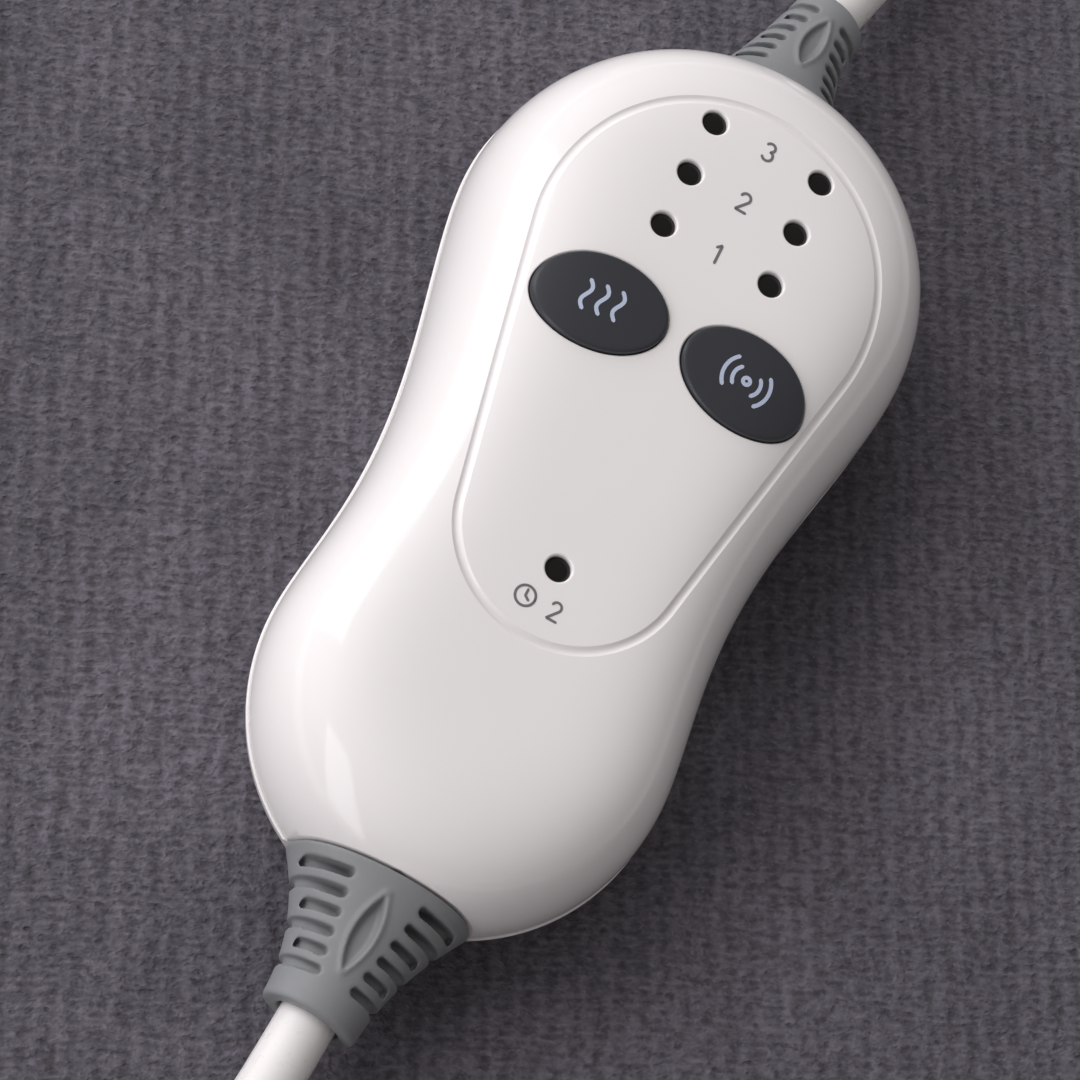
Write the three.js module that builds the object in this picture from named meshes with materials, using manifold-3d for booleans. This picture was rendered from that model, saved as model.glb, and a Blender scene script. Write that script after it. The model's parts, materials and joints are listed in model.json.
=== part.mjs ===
import * as THREE from 'three';
import { mergeVertices } from 'three/addons/utils/BufferGeometryUtils.js';
import Module from 'manifold-3d';

const wasm = await Module();
wasm.setup();

// Millimetres, +Z up. The origin lies on the floor under the middle of the pad,
// +Y runs along the pad towards the edge that takes the cord.

// Shared clearances
const gap = 0.3;
const overrun = 1;
const weldDistance = 1e-3;
const turnRounding = 1e-9;

// Pad
const padWidth = 305;
const padLength = 610;
const padThickness = 24;
const padSeamHeight = 10;
const padTopRoll = 30;
const padFootRoll = 16;
const padCornerRadius = 28;
const padDrawIn = 3;
const plushThickness = 3;
const rollPower = 2.2;
const cornerShrinkShare = 0.5;
const cornerSteps = 4;
const shortSideSteps = 4;
const longSideSteps = 8;
const rollSteps = 4;

// Heater: carrier sheet, wire and its two cut-outs
const carrierThickness = 0.9;
const wireRadius = 0.7;
const wireRuns = 10;
const wireSideMargin = 44.5;
const wireEndMargin = 69;
const wireBendSteps = 4;
const wireSides = 6;
const cutoutWidth = 6;
const cutoutLength = 14;
const cutoutHeight = 4;
const cutoutRunShares = [[0.2, 0.4], [0.7, -0.4]];

// Massage pods
const podCount = 2;
const podSpacing = 300;
const podRadius = 22;
const podWall = 1.6;
const podHeight = 14.5;
const podSides = 20;
const motorRadius = 5.2;
const motorLength = 20;
const motorSetback = 4;
const motorBoreDepth = 6;
const motorSides = 16;
const shaftRadius = 1;
const shaftSides = 10;
const shaftReach = 7.6;
const weightRadius = 4.6;
const weightLength = 6;
const weightSides = 12;
const saddleThickness = 2;
const saddleWidth = 15;
const saddleInset = 3;
const motorLeadRadius = 0.9;
const motorLeadSides = 6;
const leadChannelWidth = 3;

// Terminal block and cord inlet in the pad
const inletSideInset = 42.5;
const inletFlangeRadius = 6;
const inletFlangeThickness = 3;
const inletNeckRadius = 4.6;
const inletNeckLength = 30;
const inletBootLength = 24;
const inletBootRootRadius = 7.5;
const inletBootTipRadius = 5.2;
const inletSides = 16;
const terminalWidth = 20;
const terminalLength = 18;
const terminalHeight = 14.5;

// Controller housing: two lobes joined by a waist, parted on one level
const partingHeight = 9.5;
const ridgeHeight = 18.3;
const ridgeTilt = 2.27;
const housingPower = 4.9;
const housingWall = 2;
const lobeSpacing = 59.2;
const lampLobeHalfWidth = 28.1;
const lampLobeHalfLength = 27;
const cordLobeHalfWidth = 24;
const cordLobeHalfLength = 25;
const waistFill = 1.13;
const lobeSteps = 6;
const waistSteps = 7;
const dropAngles = [90, 72, 55, 39, 26, 14];
const lipHeight = 1.5;
const lipThickness = 0.9;
const lipRoot = 2;
const controllerTurn = 25.47;

// Groove round the control area
const grooveWideRadius = 20;
const grooveWideY = 24;
const grooveEndRadius = 13.2;
const grooveEndY = -11.2;
const grooveHalfWidth = 0.5;
const grooveSides = 4;
const grooveWideSteps = 12;
const grooveEndSteps = 8;
const grooveSideSteps = 4;

// Buttons and their switches
const buttonHalfLength = 7.9;
const buttonHalfWidth = 5.5;
const buttonX = 9.13;
const buttonY = 13.4;
const buttonTilt = 6.9;
const buttonClearance = 0.35;
const buttonProud = 0.6;
const buttonFlange = 1.2;
const buttonFloor = 22.4;
const buttonSides = 20;
const buttonTravel = 0.5;
const switchWidth = 6.2;
const switchHeight = 3.6;
const plungerRadius = 1.7;
const plungerSunk = 1.8;
const plungerSides = 10;

// Lamps
const lampRows = 3;
const lampRowPitch = 7.14;
const lampTopRowY = 39.7;
const lampX = 6.88;
const autoLampY = -15.9;
const lampHoleRadius = 1.6;
const lampRadius = 1.25;
const lampSunk = 0.9;
const autoLampSunk = 0.6;
const lampHeight = 5.3;
const lampFlangeHeight = 0.8;
const lampFlange = 0.25;
const lampSides = 8;
const lampLeadWidth = 0.5;
const lampLeadSpacing = 1.27;
const holeSides = 12;

// Circuit board and what it carries
const boardThickness = 1.6;
const boardTop = 16.4;
const boardInset = 4.2;
const boardLampEnd = 46.5;
const boardCordEnd = -43;
const boardPinInset = 4.5;
const boardPinRadius = 1.2;
const boardPinReach = 0.8;
const boardBossRadius = 2.5;
const transformerWidth = 18;
const transformerLength = 16;
const transformerHeight = 11;
const transformerY = 20;
const bobbinInset = 3;
const capacitorRadius = 4;
const capacitorHeight = 11;
const capacitorX = 12.5;
const capacitorY = 7;
const fuseRadius = 2.6;
const fuseLength = 20;
const fuseCapLength = 5;
const fuseCapStep = 0.3;
const fuseX = -12;
const fuseY = -4;
const triacWidth = 10;
const triacThickness = 4.5;
const triacHeight = 10;
const sinkWidth = 16;
const sinkThickness = 2;
const sinkFinDepth = 5;
const sinkFins = 4;
const sinkHeight = 11;
const sinkX = 6;
const sinkY = -15;
const chipWidth = 7.5;
const chipLength = 10;
const chipHeight = 2.2;
const chipY = -2;
const mainsTerminalWidth = 14;
const mainsTerminalLength = 8;
const mainsTerminalHeight = 10;
const mainsTerminalY = -30;
const outputTerminalWidth = 16;
const outputTerminalLength = 7;
const outputTerminalHeight = 8;
const outputTerminalY = 34.4;
const leadSides = 8;
const mainsLeadRadius = 1;
const mainsLeadCount = 2;
const outputLeadRadius = 0.8;
const outputLeadCount = 4;
const ribbonOverlapShare = 0.94;

// Housing screws
const lampScrewX = 18.5;
const lampScrewY = 27.5;
const cordScrewX = 14.2;
const cordScrewY = -36;
const bossRadius = 3;
const postRadius = 3.6;
const screwRadius = 1.3;
const screwDepth = 7;
const screwHeadRadius = 2.4;
const screwHeadHeight = 1.5;
const screwHeadTop = 4.6;
const screwSides = 10;

// Strain reliefs on the controller
const mainsReliefHalfWidth = 11.2;
const padReliefHalfWidth = 9.2;
const reliefLength = 16.5;
const mainsCollarRadius = 5.6;
const padCollarRadius = 4.8;
const reliefAxisHeight = 10;
const mainsNeckRadius = 4.2;
const padNeckRadius = 3.9;
const mainsFlangeRadius = 5.4;
const padFlangeRadius = 4.6;
const reliefFlangeThickness = 2.2;
const reliefRingShares = [0, 0.1, 0.24, 0.42, 0.66, 1];
const reliefTaperPower = 2;
const reliefSides = 16;
const mainsReliefLean = -0.6;
const padReliefLean = 2;
const slotCount = 6;
const mainsSlotFirst = 2;
const padSlotFirst = 3.2;
const slotPitch = 2.08;
const slotWidth = 1.05;
const slotFloorShare = 0.77;
const slotFloorSides = 8;
const webHalfWidth = 4.3;
const webTaperShare = 0.76;
const lensHalfLength = 4.3;
const lensHalfWidth = 1.1;
const mainsLensStart = 2.6;
const padLensStart = 4.4;
const lensDepth = 1;
const lensSteps = 4;

// Cords
const cordDiameter = 6.6;
const cordSides = 8;
const coilSides = 6;
const coilSteps = 24;
const coilPitch = 7.2;
const coilLayerRise = 7.1;
const coilTurnBulge = 1;
const coilMiddleRadius = 36.3;
const mainsCoilX = -11.2;
const mainsCoilY = -127.5;
const mainsCoilStart = 154.5;
const mainsCoilTurns = 7.321;
const mainsCoilLayers = 4;
const padCoilX = 28.5;
const padCoilY = 132;
const padCoilStart = -32.3;
const padCoilTurns = 2.09;
const padCoilLayers = 2;
const nearSteps = 10;
const mainsFarSteps = 12;
const padFarSteps = 40;

// Routes of the cords: across, along, and how high over lying on the pad or over the floor
const mainsNearRoute = [[-40.5, -86.5, 3.6], [-46, -98.5, 1]];
const mainsFarRoute = [[12, -171, 19.2], [24, -172.5, 13], [36, -174, 6.4], [47, -175, 5.2]];
const padNearRoute = [[47, 86.5, 3.4], [54, 97.5, 0.8]];
const padFarRoute = [
  [67.5, 154, 6.6], [67, 168, 3.4], [66, 182, 0.6], [64, 200, 0],
  [60, 225, 0], [56, 250, 0], [53, 272, 0], [52, 289, -0.3],
];
const floorRoute = [
  [52, 303, 24], [52, 314, 18.4], [52, 325, 11], [52, 336, 5.6], [52, 348, 3.6], [54, 364, 3.6],
  [64, 379, 3.6], [81, 386, 3.6], [98, 379, 3.9], [108, 364, 5.4], [110, 350, 7.8],
];

// Mains plug, lying beside the coil
const plugX = 62;
const plugWidth = 25;
const plugThickness = 17;
const plugBodyLength = 26;
const plugBootLength = 20;
const plugBootRadius = 5;
const plugBootShares = [0, 0.35, 0.7, 1];
const plugCornerPower = 0.6;
const plugAside = 48;
const bladeLength = 17;
const bladeWidth = 6.35;
const bladeThickness = 1.5;
const bladeSpacing = 12.7;

// Colours
const plushGrey = 0x5a565e;
const liningGrey = 0x8d8a90;
const feltWhite = 0xd9d6cf;
const wireRed = 0xb4382f;
const housingWhite = 0xece9e6;
const buttonCharcoal = 0x3f4047;
const reliefGrey = 0x8f9397;
const cordWhite = 0xefecea;
const boardGreen = 0x2f6a43;
const partBlack = 0x26262a;
const metalGrey = 0xb9bcc0;
const copper = 0xb87333;
const lensDark = 0x1d1a18;
const podGrey = 0x6d6f73;

const degrees = Math.PI / 180;

// Solids and meshes

function solid(geometry) {
  const bare = geometry.clone();
  bare.deleteAttribute('normal');
  bare.deleteAttribute('uv');
  const welded = outward(mergeVertices(bare, weldDistance));
  return new wasm.Manifold(new wasm.Mesh({
    numProp: 3,
    vertProperties: Float32Array.from(welded.attributes.position.array),
    triVerts: Uint32Array.from(welded.index.array),
  }));
}

function geometryOf(body) {
  const mesh = body.getMesh();
  const geometry = new THREE.BufferGeometry();
  geometry.setAttribute('position', new THREE.BufferAttribute(Float32Array.from(mesh.vertProperties), 3));
  geometry.setIndex(new THREE.BufferAttribute(Uint32Array.from(mesh.triVerts), 1));
  return geometry;
}

function joined(bodies) {
  return bodies.reduce((sum, body) => sum.add(body));
}

const product = new THREE.Group();
const controller = new THREE.Group();
controller.rotation.z = -controllerTurn * degrees;
controller.position.set(0, 0, padThickness + gap);
product.add(controller);

function addPiece(parent, name, body, color, roughness, metalness = 0) {
  const geometry = body.isBufferGeometry ? body : geometryOf(body);
  const mesh = new THREE.Mesh(geometry, new THREE.MeshStandardMaterial({ color, roughness, metalness }));
  mesh.name = name;
  parent.add(mesh);
}

// A closed skin through rings that have the same number of points, capped at both ends
function ringGeometry(rings, capAxes) {
  const count = rings[0].length;
  const positions = rings.flat().flatMap((point) => [point.x, point.y, point.z]);
  const indices = [];
  for (let ring = 0; ring + 1 < rings.length; ring += 1) {
    for (let step = 0; step < count; step += 1) {
      const next = (step + 1) % count;
      const low = ring * count;
      const high = low + count;
      indices.push(low + step, low + next, high + next);
      indices.push(low + step, high + next, high + step);
    }
  }
  const [across, along] = capAxes;
  for (const [ring, turned] of [[0, true], [rings.length - 1, false]]) {
    const flat = rings[ring].map((point) => new THREE.Vector2(point[across], point[along]));
    const clockwise = THREE.ShapeUtils.isClockWise(flat);
    for (const face of THREE.ShapeUtils.triangulateShape(flat, [])) {
      const [a, b, c] = face.map((index) => ring * count + index);
      indices.push(...(clockwise === turned ? [a, b, c] : [a, c, b]));
    }
  }
  const geometry = new THREE.BufferGeometry();
  geometry.setAttribute('position', new THREE.Float32BufferAttribute(positions, 3));
  geometry.setIndex(indices);
  return geometry;
}

function outward(geometry) {
  const position = geometry.attributes.position;
  const index = geometry.index.array;
  const corner = [new THREE.Vector3(), new THREE.Vector3(), new THREE.Vector3()];
  let volume = 0;
  for (let face = 0; face < index.length; face += 3) {
    corner.forEach((point, side) => point.fromBufferAttribute(position, index[face + side]));
    volume += corner[0].dot(corner[1].cross(corner[2]));
  }
  if (volume < 0) {
    for (let face = 0; face < index.length; face += 3) {
      [index[face + 1], index[face + 2]] = [index[face + 2], index[face + 1]];
    }
  }
  return geometry;
}

function ringSolid(rings, capAxes = ['x', 'y']) {
  return solid(ringGeometry(rings, capAxes));
}

function block(width, length, height, x, y, bottom) {
  return solid(new THREE.BoxGeometry(width, length, height).translate(x, y, bottom + height / 2));
}

function post(radius, bottom, top, x, y, sides) {
  const geometry = new THREE.CylinderGeometry(radius, radius, top - bottom, sides);
  return solid(geometry.rotateX(Math.PI / 2).translate(x, y, (top + bottom) / 2));
}

function rodAlongX(radius, from, to, y, z, sides) {
  const geometry = new THREE.CylinderGeometry(radius, radius, to - from, sides);
  return solid(geometry.rotateZ(Math.PI / 2).translate((from + to) / 2, y, z));
}

function rodAlongY(radius, from, to, x, z, sides) {
  const geometry = new THREE.CylinderGeometry(radius, radius, to - from, sides);
  return solid(geometry.translate(x, (from + to) / 2, z));
}

// A round tube through points on a path that never stands upright
function tubeSkin(points, radius, sides, closed = false) {
  const up = new THREE.Vector3(0, 0, 1);
  const last = points.length - 1;
  const rings = points.map((point, index) => {
    const before = closed ? points[(index + last) % points.length] : points[Math.max(index - 1, 0)];
    const after = closed ? points[(index + 1) % points.length] : points[Math.min(index + 1, last)];
    const tangent = after.clone().sub(before).normalize();
    const side = tangent.clone().cross(up).normalize();
    const lift = side.clone().cross(tangent);
    return Array.from({ length: sides }, (_, step) => {
      const angle = (step + 0.5) / sides * 2 * Math.PI;
      return point.clone()
        .addScaledVector(side, radius * Math.cos(angle))
        .addScaledVector(lift, radius * Math.sin(angle));
    });
  });
  return outward(closed ? closedTube(rings) : tubeEnds(rings));
}

function tubeWalls(rings, wrap) {
  const sides = rings[0].length;
  const indices = [];
  const spans = wrap ? rings.length : rings.length - 1;
  for (let ring = 0; ring < spans; ring += 1) {
    const low = ring * sides;
    const high = ((ring + 1) % rings.length) * sides;
    for (let step = 0; step < sides; step += 1) {
      const next = (step + 1) % sides;
      indices.push(low + step, low + next, high + next);
      indices.push(low + step, high + next, high + step);
    }
  }
  return indices;
}

function tubeGeometry(rings, indices) {
  const positions = rings.flat().flatMap((point) => [point.x, point.y, point.z]);
  const geometry = new THREE.BufferGeometry();
  geometry.setAttribute('position', new THREE.Float32BufferAttribute(positions, 3));
  geometry.setIndex(indices);
  return geometry;
}

function closedTube(rings) {
  return tubeGeometry(rings, tubeWalls(rings, true));
}

function tubeEnds(rings) {
  const sides = rings[0].length;
  const indices = tubeWalls(rings, false);
  const tail = (rings.length - 1) * sides;
  for (let step = 1; step + 1 < sides; step += 1) {
    indices.push(0, step + 1, step);
    indices.push(tail, tail + step, tail + step + 1);
  }
  return tubeGeometry(rings, indices);
}

// Pad: a flat cushion whose edges roll over to a seam

function padOutline(inset) {
  const halfWidth = padWidth / 2 - inset;
  const halfLength = padLength / 2 - inset;
  const radius = padCornerRadius - inset * cornerShrinkShare;
  const corners = [[1, 1], [-1, 1], [-1, -1], [1, -1]];
  const points = [];
  corners.forEach(([sideX, sideY], index) => {
    const centreX = sideX * (halfWidth - radius);
    const centreY = sideY * (halfLength - radius);
    for (let step = 0; step <= cornerSteps; step += 1) {
      const angle = (index + step / cornerSteps) * Math.PI / 2;
      points.push([centreX + radius * Math.cos(angle), centreY + radius * Math.sin(angle)]);
    }
    const long = index % 2 === 1;
    const steps = long ? longSideSteps : shortSideSteps;
    const [fromX, fromY] = points[points.length - 1];
    const [toX, toY] = long ? [fromX, -fromY] : [-fromX, fromY];
    for (let step = 1; step < steps; step += 1) {
      const share = step / steps;
      const drawn = long ? padDrawIn * Math.sin(share * Math.PI) ** 2 : 0;
      points.push([
        fromX + (toX - fromX) * share - Math.sign(fromX) * drawn,
        fromY + (toY - fromY) * share,
      ]);
    }
  });
  return points;
}

function padRing(inset, height) {
  return padOutline(inset).map(([x, y]) => new THREE.Vector3(x, y, height));
}

function padForm(skin) {
  const rings = [];
  for (let step = rollSteps; step > 0; step -= 1) {
    const angle = step / rollSteps * Math.PI / 2;
    const run = Math.max(Math.cos(angle), 0) ** (2 / rollPower);
    const drop = Math.sin(angle) ** (2 / rollPower);
    rings.push(padRing(skin + padFootRoll * (1 - run), padSeamHeight - (padSeamHeight - skin) * drop));
  }
  for (let step = 0; step <= rollSteps; step += 1) {
    const angle = step / rollSteps * Math.PI / 2;
    const run = Math.max(Math.cos(angle), 0) ** (2 / rollPower);
    const rise = Math.sin(angle) ** (2 / rollPower);
    const crown = padThickness - skin - padSeamHeight;
    rings.push(padRing(skin + padTopRoll * (1 - run), padSeamHeight + crown * rise));
  }
  return ringSolid(rings);
}

function padSlab(bottom, top) {
  return block(padWidth * 2, padLength * 2, top - bottom, 0, 0, bottom);
}

const wireRunSpacing = (padWidth - 2 * wireSideMargin) / (wireRuns - 1);
const wireRunHalfLength = padLength / 2 - wireEndMargin;
const inletX = padWidth / 2 - inletSideInset;
const podBottom = plushThickness + gap;
const fillTop = podBottom + podHeight;
const carrierBottom = fillTop + gap;
const carrierTop = carrierBottom + carrierThickness;
const wireHeight = carrierTop + gap + wireRadius;
const heaterTop = wireHeight + wireRadius;
const podPlaces = Array.from({ length: podCount }, (_, index) => (index - (podCount - 1) / 2) * podSpacing);
const inletFlangeFace = padLength / 2 - inletNeckLength;
const terminalY = inletFlangeFace - inletFlangeThickness - gap - terminalLength / 2;
const terminalBottom = heaterTop - terminalHeight;
const leadX = inletX - terminalWidth / 2 + leadChannelWidth / 2;
const leadHeight = fillTop - leadChannelWidth / 2;

function makeCovers() {
  const hollow = padForm(0).subtract(padForm(plushThickness));
  const inletHole = rodAlongY(
    inletNeckRadius + gap, padLength / 2 - padTopRoll, padLength / 2 + overrun,
    inletX, padSeamHeight, inletSides,
  );
  const top = hollow.intersect(padSlab(padSeamHeight + gap / 2, padThickness + overrun)).subtract(inletHole);
  const bottom = hollow.intersect(padSlab(-overrun, padSeamHeight - gap / 2)).subtract(inletHole);
  addPiece(product, 'pad_cover_top', top, plushGrey, 0.95);
  addPiece(product, 'pad_cover_bottom', bottom, plushGrey, 0.95);
}

function cutoutPlaces() {
  const middle = (wireRuns - 1) / 2;
  return cutoutRunShares.map(([runShare, alongShare]) => {
    const run = Math.round(runShare * (wireRuns - 1));
    return [
      (run - middle) * wireRunSpacing + wireRadius + gap + cutoutWidth / 2,
      alongShare * wireRunHalfLength,
    ];
  });
}

function cutoutHoles() {
  const bottom = heaterTop - cutoutHeight - gap;
  return joined(cutoutPlaces().map(([x, y]) => block(
    cutoutWidth + 2 * gap, cutoutLength + 2 * gap, padThickness - bottom, x, y, bottom,
  )));
}

function terminalHole() {
  return block(
    terminalWidth + 2 * gap, terminalLength + 2 * gap, padThickness, inletX, terminalY, terminalBottom - gap,
  );
}

function makeFill() {
  const form = padForm(plushThickness + gap).intersect(padSlab(0, fillTop));
  const pockets = podPlaces.map((y) => post(podRadius + gap, 0, padThickness, 0, y, podSides));
  const neckHole = rodAlongY(
    inletFlangeRadius + gap, terminalY, padLength / 2, inletX, padSeamHeight, inletSides,
  );
  const channelBottom = fillTop - leadChannelWidth;
  const channelMiddle = (terminalY + podPlaces[0]) / 2;
  const branchLength = leadX + leadChannelWidth;
  const channels = [
    block(leadChannelWidth, terminalY - podPlaces[0], padThickness, leadX, channelMiddle, channelBottom),
    ...podPlaces.map((y) => block(branchLength, leadChannelWidth, padThickness, leadX / 2, y, channelBottom)),
  ];
  const cuts = joined([...pockets, neckHole, ...channels, cutoutHoles(), terminalHole()]);
  addPiece(product, 'fill_panel', form.subtract(cuts), liningGrey, 0.9);
}

function makeHeater() {
  const sheet = padForm(plushThickness + gap).intersect(padSlab(carrierBottom, carrierTop));
  const carrier = sheet.subtract(cutoutHoles()).subtract(terminalHole());
  addPiece(product, 'heater_carrier', carrier, feltWhite, 0.95);
  const middle = (wireRuns - 1) / 2;
  const bend = wireRunSpacing / 2;
  const points = [];
  for (let run = 0; run < wireRuns; run += 1) {
    const x = (run - middle) * wireRunSpacing;
    const upward = run % 2 === 0 ? 1 : -1;
    points.push(new THREE.Vector3(x, -upward * wireRunHalfLength, wireHeight));
    points.push(new THREE.Vector3(x, upward * wireRunHalfLength, wireHeight));
    if (run + 1 < wireRuns) {
      for (let step = 1; step < wireBendSteps; step += 1) {
        const angle = step / wireBendSteps * Math.PI;
        points.push(new THREE.Vector3(
          x + bend - bend * Math.cos(angle),
          upward * (wireRunHalfLength + bend * Math.sin(angle)),
          wireHeight,
        ));
      }
    }
  }
  addPiece(product, 'heating_wire', tubeSkin(points, wireRadius, wireSides), wireRed, 0.5);
  cutoutPlaces().forEach(([x, y], index) => {
    const body = block(cutoutWidth, cutoutLength, cutoutHeight, x, y, heaterTop - cutoutHeight);
    addPiece(product, `overheat_cutout_${index + 1}`, body, partBlack, 0.4);
  });
}

function makePod(y, number) {
  const lidBottom = fillTop - podWall;
  const baseTop = lidBottom - gap;
  const floor = podBottom + podWall;
  const axis = floor + gap + motorRadius;
  const motorBack = -motorLength + motorLength / 2 - motorSetback;
  const motorFront = motorBack + motorLength;
  const cradle = post(podRadius - podWall / 2, floor - podWall / 2, axis, 0, y, podSides)
    .intersect(joined([motorBack + saddleInset, motorFront - saddleInset].map(
      (x) => block(saddleThickness, saddleWidth, podHeight, x, y, podBottom),
    )))
    .subtract(rodAlongX(motorRadius + gap, -podRadius, podRadius, y, axis, motorSides));
  const holeBottom = fillTop - leadChannelWidth;
  const leadHole = block(podRadius, leadChannelWidth, leadChannelWidth + overrun, podRadius, y, holeBottom);
  const base = post(podRadius, podBottom, baseTop, 0, y, podSides)
    .subtract(post(podRadius - podWall, floor, baseTop + overrun, 0, y, podSides))
    .add(cradle)
    .subtract(leadHole);
  const bore = rodAlongX(
    shaftRadius + gap, motorFront - motorBoreDepth, motorFront + overrun, y, axis, shaftSides,
  );
  const motor = rodAlongX(motorRadius, motorBack, motorFront, y, axis, motorSides).subtract(bore);
  const shaftEnd = motorFront + shaftReach;
  const shaft = rodAlongX(shaftRadius, motorFront - motorBoreDepth + gap, shaftEnd, y, axis, shaftSides);
  const disc = rodAlongX(weightRadius, shaftEnd - weightLength, shaftEnd, y, axis, weightSides);
  const half = block(
    weightLength + 2 * overrun, weightRadius * 3, weightRadius * 2,
    shaftEnd - weightLength / 2, y, axis - weightRadius * 2,
  );
  addPiece(product, `pod_base_${number}`, base, podGrey, 0.6);
  addPiece(product, `pod_lid_${number}`, post(podRadius, lidBottom, fillTop, 0, y, podSides), podGrey, 0.6);
  addPiece(product, `massage_motor_${number}`, motor, metalGrey, 0.3, 0.9);
  addPiece(product, `eccentric_weight_${number}`, disc.intersect(half).add(shaft), copper, 0.35, 0.9);
}

function makeMotorLeads() {
  const far = terminalY - terminalLength / 2 - 2 * gap;
  const near = podPlaces[0] - motorLeadRadius;
  const run = rodAlongY(motorLeadRadius, near, far, leadX, leadHeight, motorLeadSides);
  const branches = podPlaces.map((y) => rodAlongX(
    motorLeadRadius, podRadius + 2 * gap, leadX, y, leadHeight, motorLeadSides,
  ));
  addPiece(product, 'motor_leads', joined([run, ...branches]), partBlack, 0.5);
}

function makeInlet() {
  const terminal = block(terminalWidth, terminalLength, terminalHeight, inletX, terminalY, terminalBottom);
  addPiece(product, 'pad_terminal', terminal, feltWhite, 0.5);
  const edge = padLength / 2 + gap;
  const profile = [
    [0, inletFlangeFace - inletFlangeThickness],
    [inletFlangeRadius, inletFlangeFace - inletFlangeThickness],
    [inletFlangeRadius, inletFlangeFace],
    [inletNeckRadius, inletFlangeFace],
    [inletNeckRadius, edge],
    [inletBootRootRadius, edge],
    [inletBootTipRadius, edge + inletBootLength],
    [0, edge + inletBootLength],
  ].map(([radius, along]) => new THREE.Vector2(radius, along));
  const boot = new THREE.LatheGeometry(profile, inletSides).translate(inletX, 0, padSeamHeight);
  addPiece(product, 'pad_cord_inlet', solid(boot), reliefGrey, 0.7);
}

// Controller housing

function halfWidthAt(y, inset) {
  const cordWidth = cordLobeHalfWidth - inset;
  const lampWidth = lampLobeHalfWidth - inset;
  const cordLength = cordLobeHalfLength - inset;
  const lampLength = lampLobeHalfLength - inset;
  const share = Math.min(Math.max(y / lobeSpacing + 0.5, 0), 1);
  const cordBend = -cordWidth * (lobeSpacing / cordLength) ** 2;
  const lampBend = -lampWidth * (lobeSpacing / lampLength) ** 2;
  const rise = lampWidth - cordWidth;
  const cubic = 10 * rise + (lampBend - 3 * cordBend) / 2;
  const quartic = -15 * rise + (3 * cordBend - 2 * lampBend) / 2;
  const quintic = 6 * rise + (lampBend - cordBend) / 2;
  const bump = 64 * (share * (1 - share)) ** 3;
  return cordWidth + cordBend * share ** 2 / 2 + cubic * share ** 3 + quartic * share ** 4
    + quintic * share ** 5 + waistFill * bump;
}

// The side between the lobes is a quintic that meets each lobe with its width, slope and bend
function housingOutline(inset) {
  const half = lobeSpacing / 2;
  const right = [];
  for (let step = 0; step <= lobeSteps; step += 1) {
    const angle = (1 - step / lobeSteps) * Math.PI / 2;
    right.push({
      x: (lampLobeHalfWidth - inset) * Math.cos(angle),
      y: half + (lampLobeHalfLength - inset) * Math.sin(angle),
      core: half,
    });
  }
  for (let step = 1; step < waistSteps; step += 1) {
    const y = half - lobeSpacing * step / waistSteps;
    right.push({ x: halfWidthAt(y, inset), y, core: y });
  }
  for (let step = 0; step <= lobeSteps; step += 1) {
    const angle = step / lobeSteps * Math.PI / 2;
    right.push({
      x: (cordLobeHalfWidth - inset) * Math.cos(angle),
      y: -half - (cordLobeHalfLength - inset) * Math.sin(angle),
      core: -half,
    });
  }
  const left = right.slice(1, -1).reverse().map(({ x, y, core }) => ({ x: -x, y, core }));
  right[0].x = 0;
  right[right.length - 1].x = 0;
  return [...right, ...left];
}

function ridgeAt(y, inset) {
  const span = lobeSpacing / 2 + lampLobeHalfLength;
  return ridgeHeight - inset + ridgeTilt * Math.sin(y / span * Math.PI / 2);
}

// How far out a place lies, from 0 on the spine to 1 on the outline
function outShare(x, y, inset) {
  const half = lobeSpacing / 2;
  if (y > half) {
    return Math.hypot(x / (lampLobeHalfWidth - inset), (y - half) / (lampLobeHalfLength - inset));
  }
  if (y < -half) {
    return Math.hypot(x / (cordLobeHalfWidth - inset), (y + half) / (cordLobeHalfLength - inset));
  }
  return Math.abs(x) / halfWidthAt(y, inset);
}

const flatAngle = dropAngles[dropAngles.length - 1];

function fallAt(x, y, inset) {
  const out = Math.min(outShare(x, y, inset), 1);
  return Math.sqrt(1 - out ** housingPower);
}

function topHeight(x, y, inset) {
  return partingHeight + ridgeAt(y, inset) * fallAt(x, y, inset);
}

function footHeight(x, y, inset) {
  const fall = Math.min(fallAt(x, y, inset) / Math.cos(flatAngle * degrees), 1);
  return partingHeight - (partingHeight - inset) * fall;
}

function housingHalf(inset, upper, past) {
  const outline = housingOutline(inset);
  const start = outline.map(({ x, y }) => new THREE.Vector3(x, y, partingHeight + (upper ? -past : past)));
  const rings = dropAngles.map((angle) => {
    const out = Math.sin(angle * degrees) ** (2 / housingPower);
    return outline.map(({ x, y, core }) => {
      const across = x * out;
      const along = core + (y - core) * out;
      const fall = Math.cos(angle * degrees);
      const height = upper
        ? partingHeight + ridgeAt(along, inset) * fall
        : partingHeight - (partingHeight - inset) * fall / Math.cos(flatAngle * degrees);
      return new THREE.Vector3(across, along, height);
    });
  });
  return ringSolid([start, ...rings]);
}

// Both ends are cut off flat where the housing is as wide as the root of its strain relief
function endReach(lobeHalfWidth, lobeHalfLength, rootHalfWidth) {
  return lobeSpacing / 2 + lobeHalfLength * Math.sqrt(1 - (rootHalfWidth / lobeHalfWidth) ** 2);
}

const lampEnd = endReach(lampLobeHalfWidth, lampLobeHalfLength, padReliefHalfWidth);
const cordEnd = -endReach(cordLobeHalfWidth, cordLobeHalfLength, mainsReliefHalfWidth);
const housingSpan = lampLobeHalfWidth * 4;

function between(back, front) {
  return block(housingSpan, front - back, housingSpan, 0, (front + back) / 2, -housingSpan / 2);
}

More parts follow.
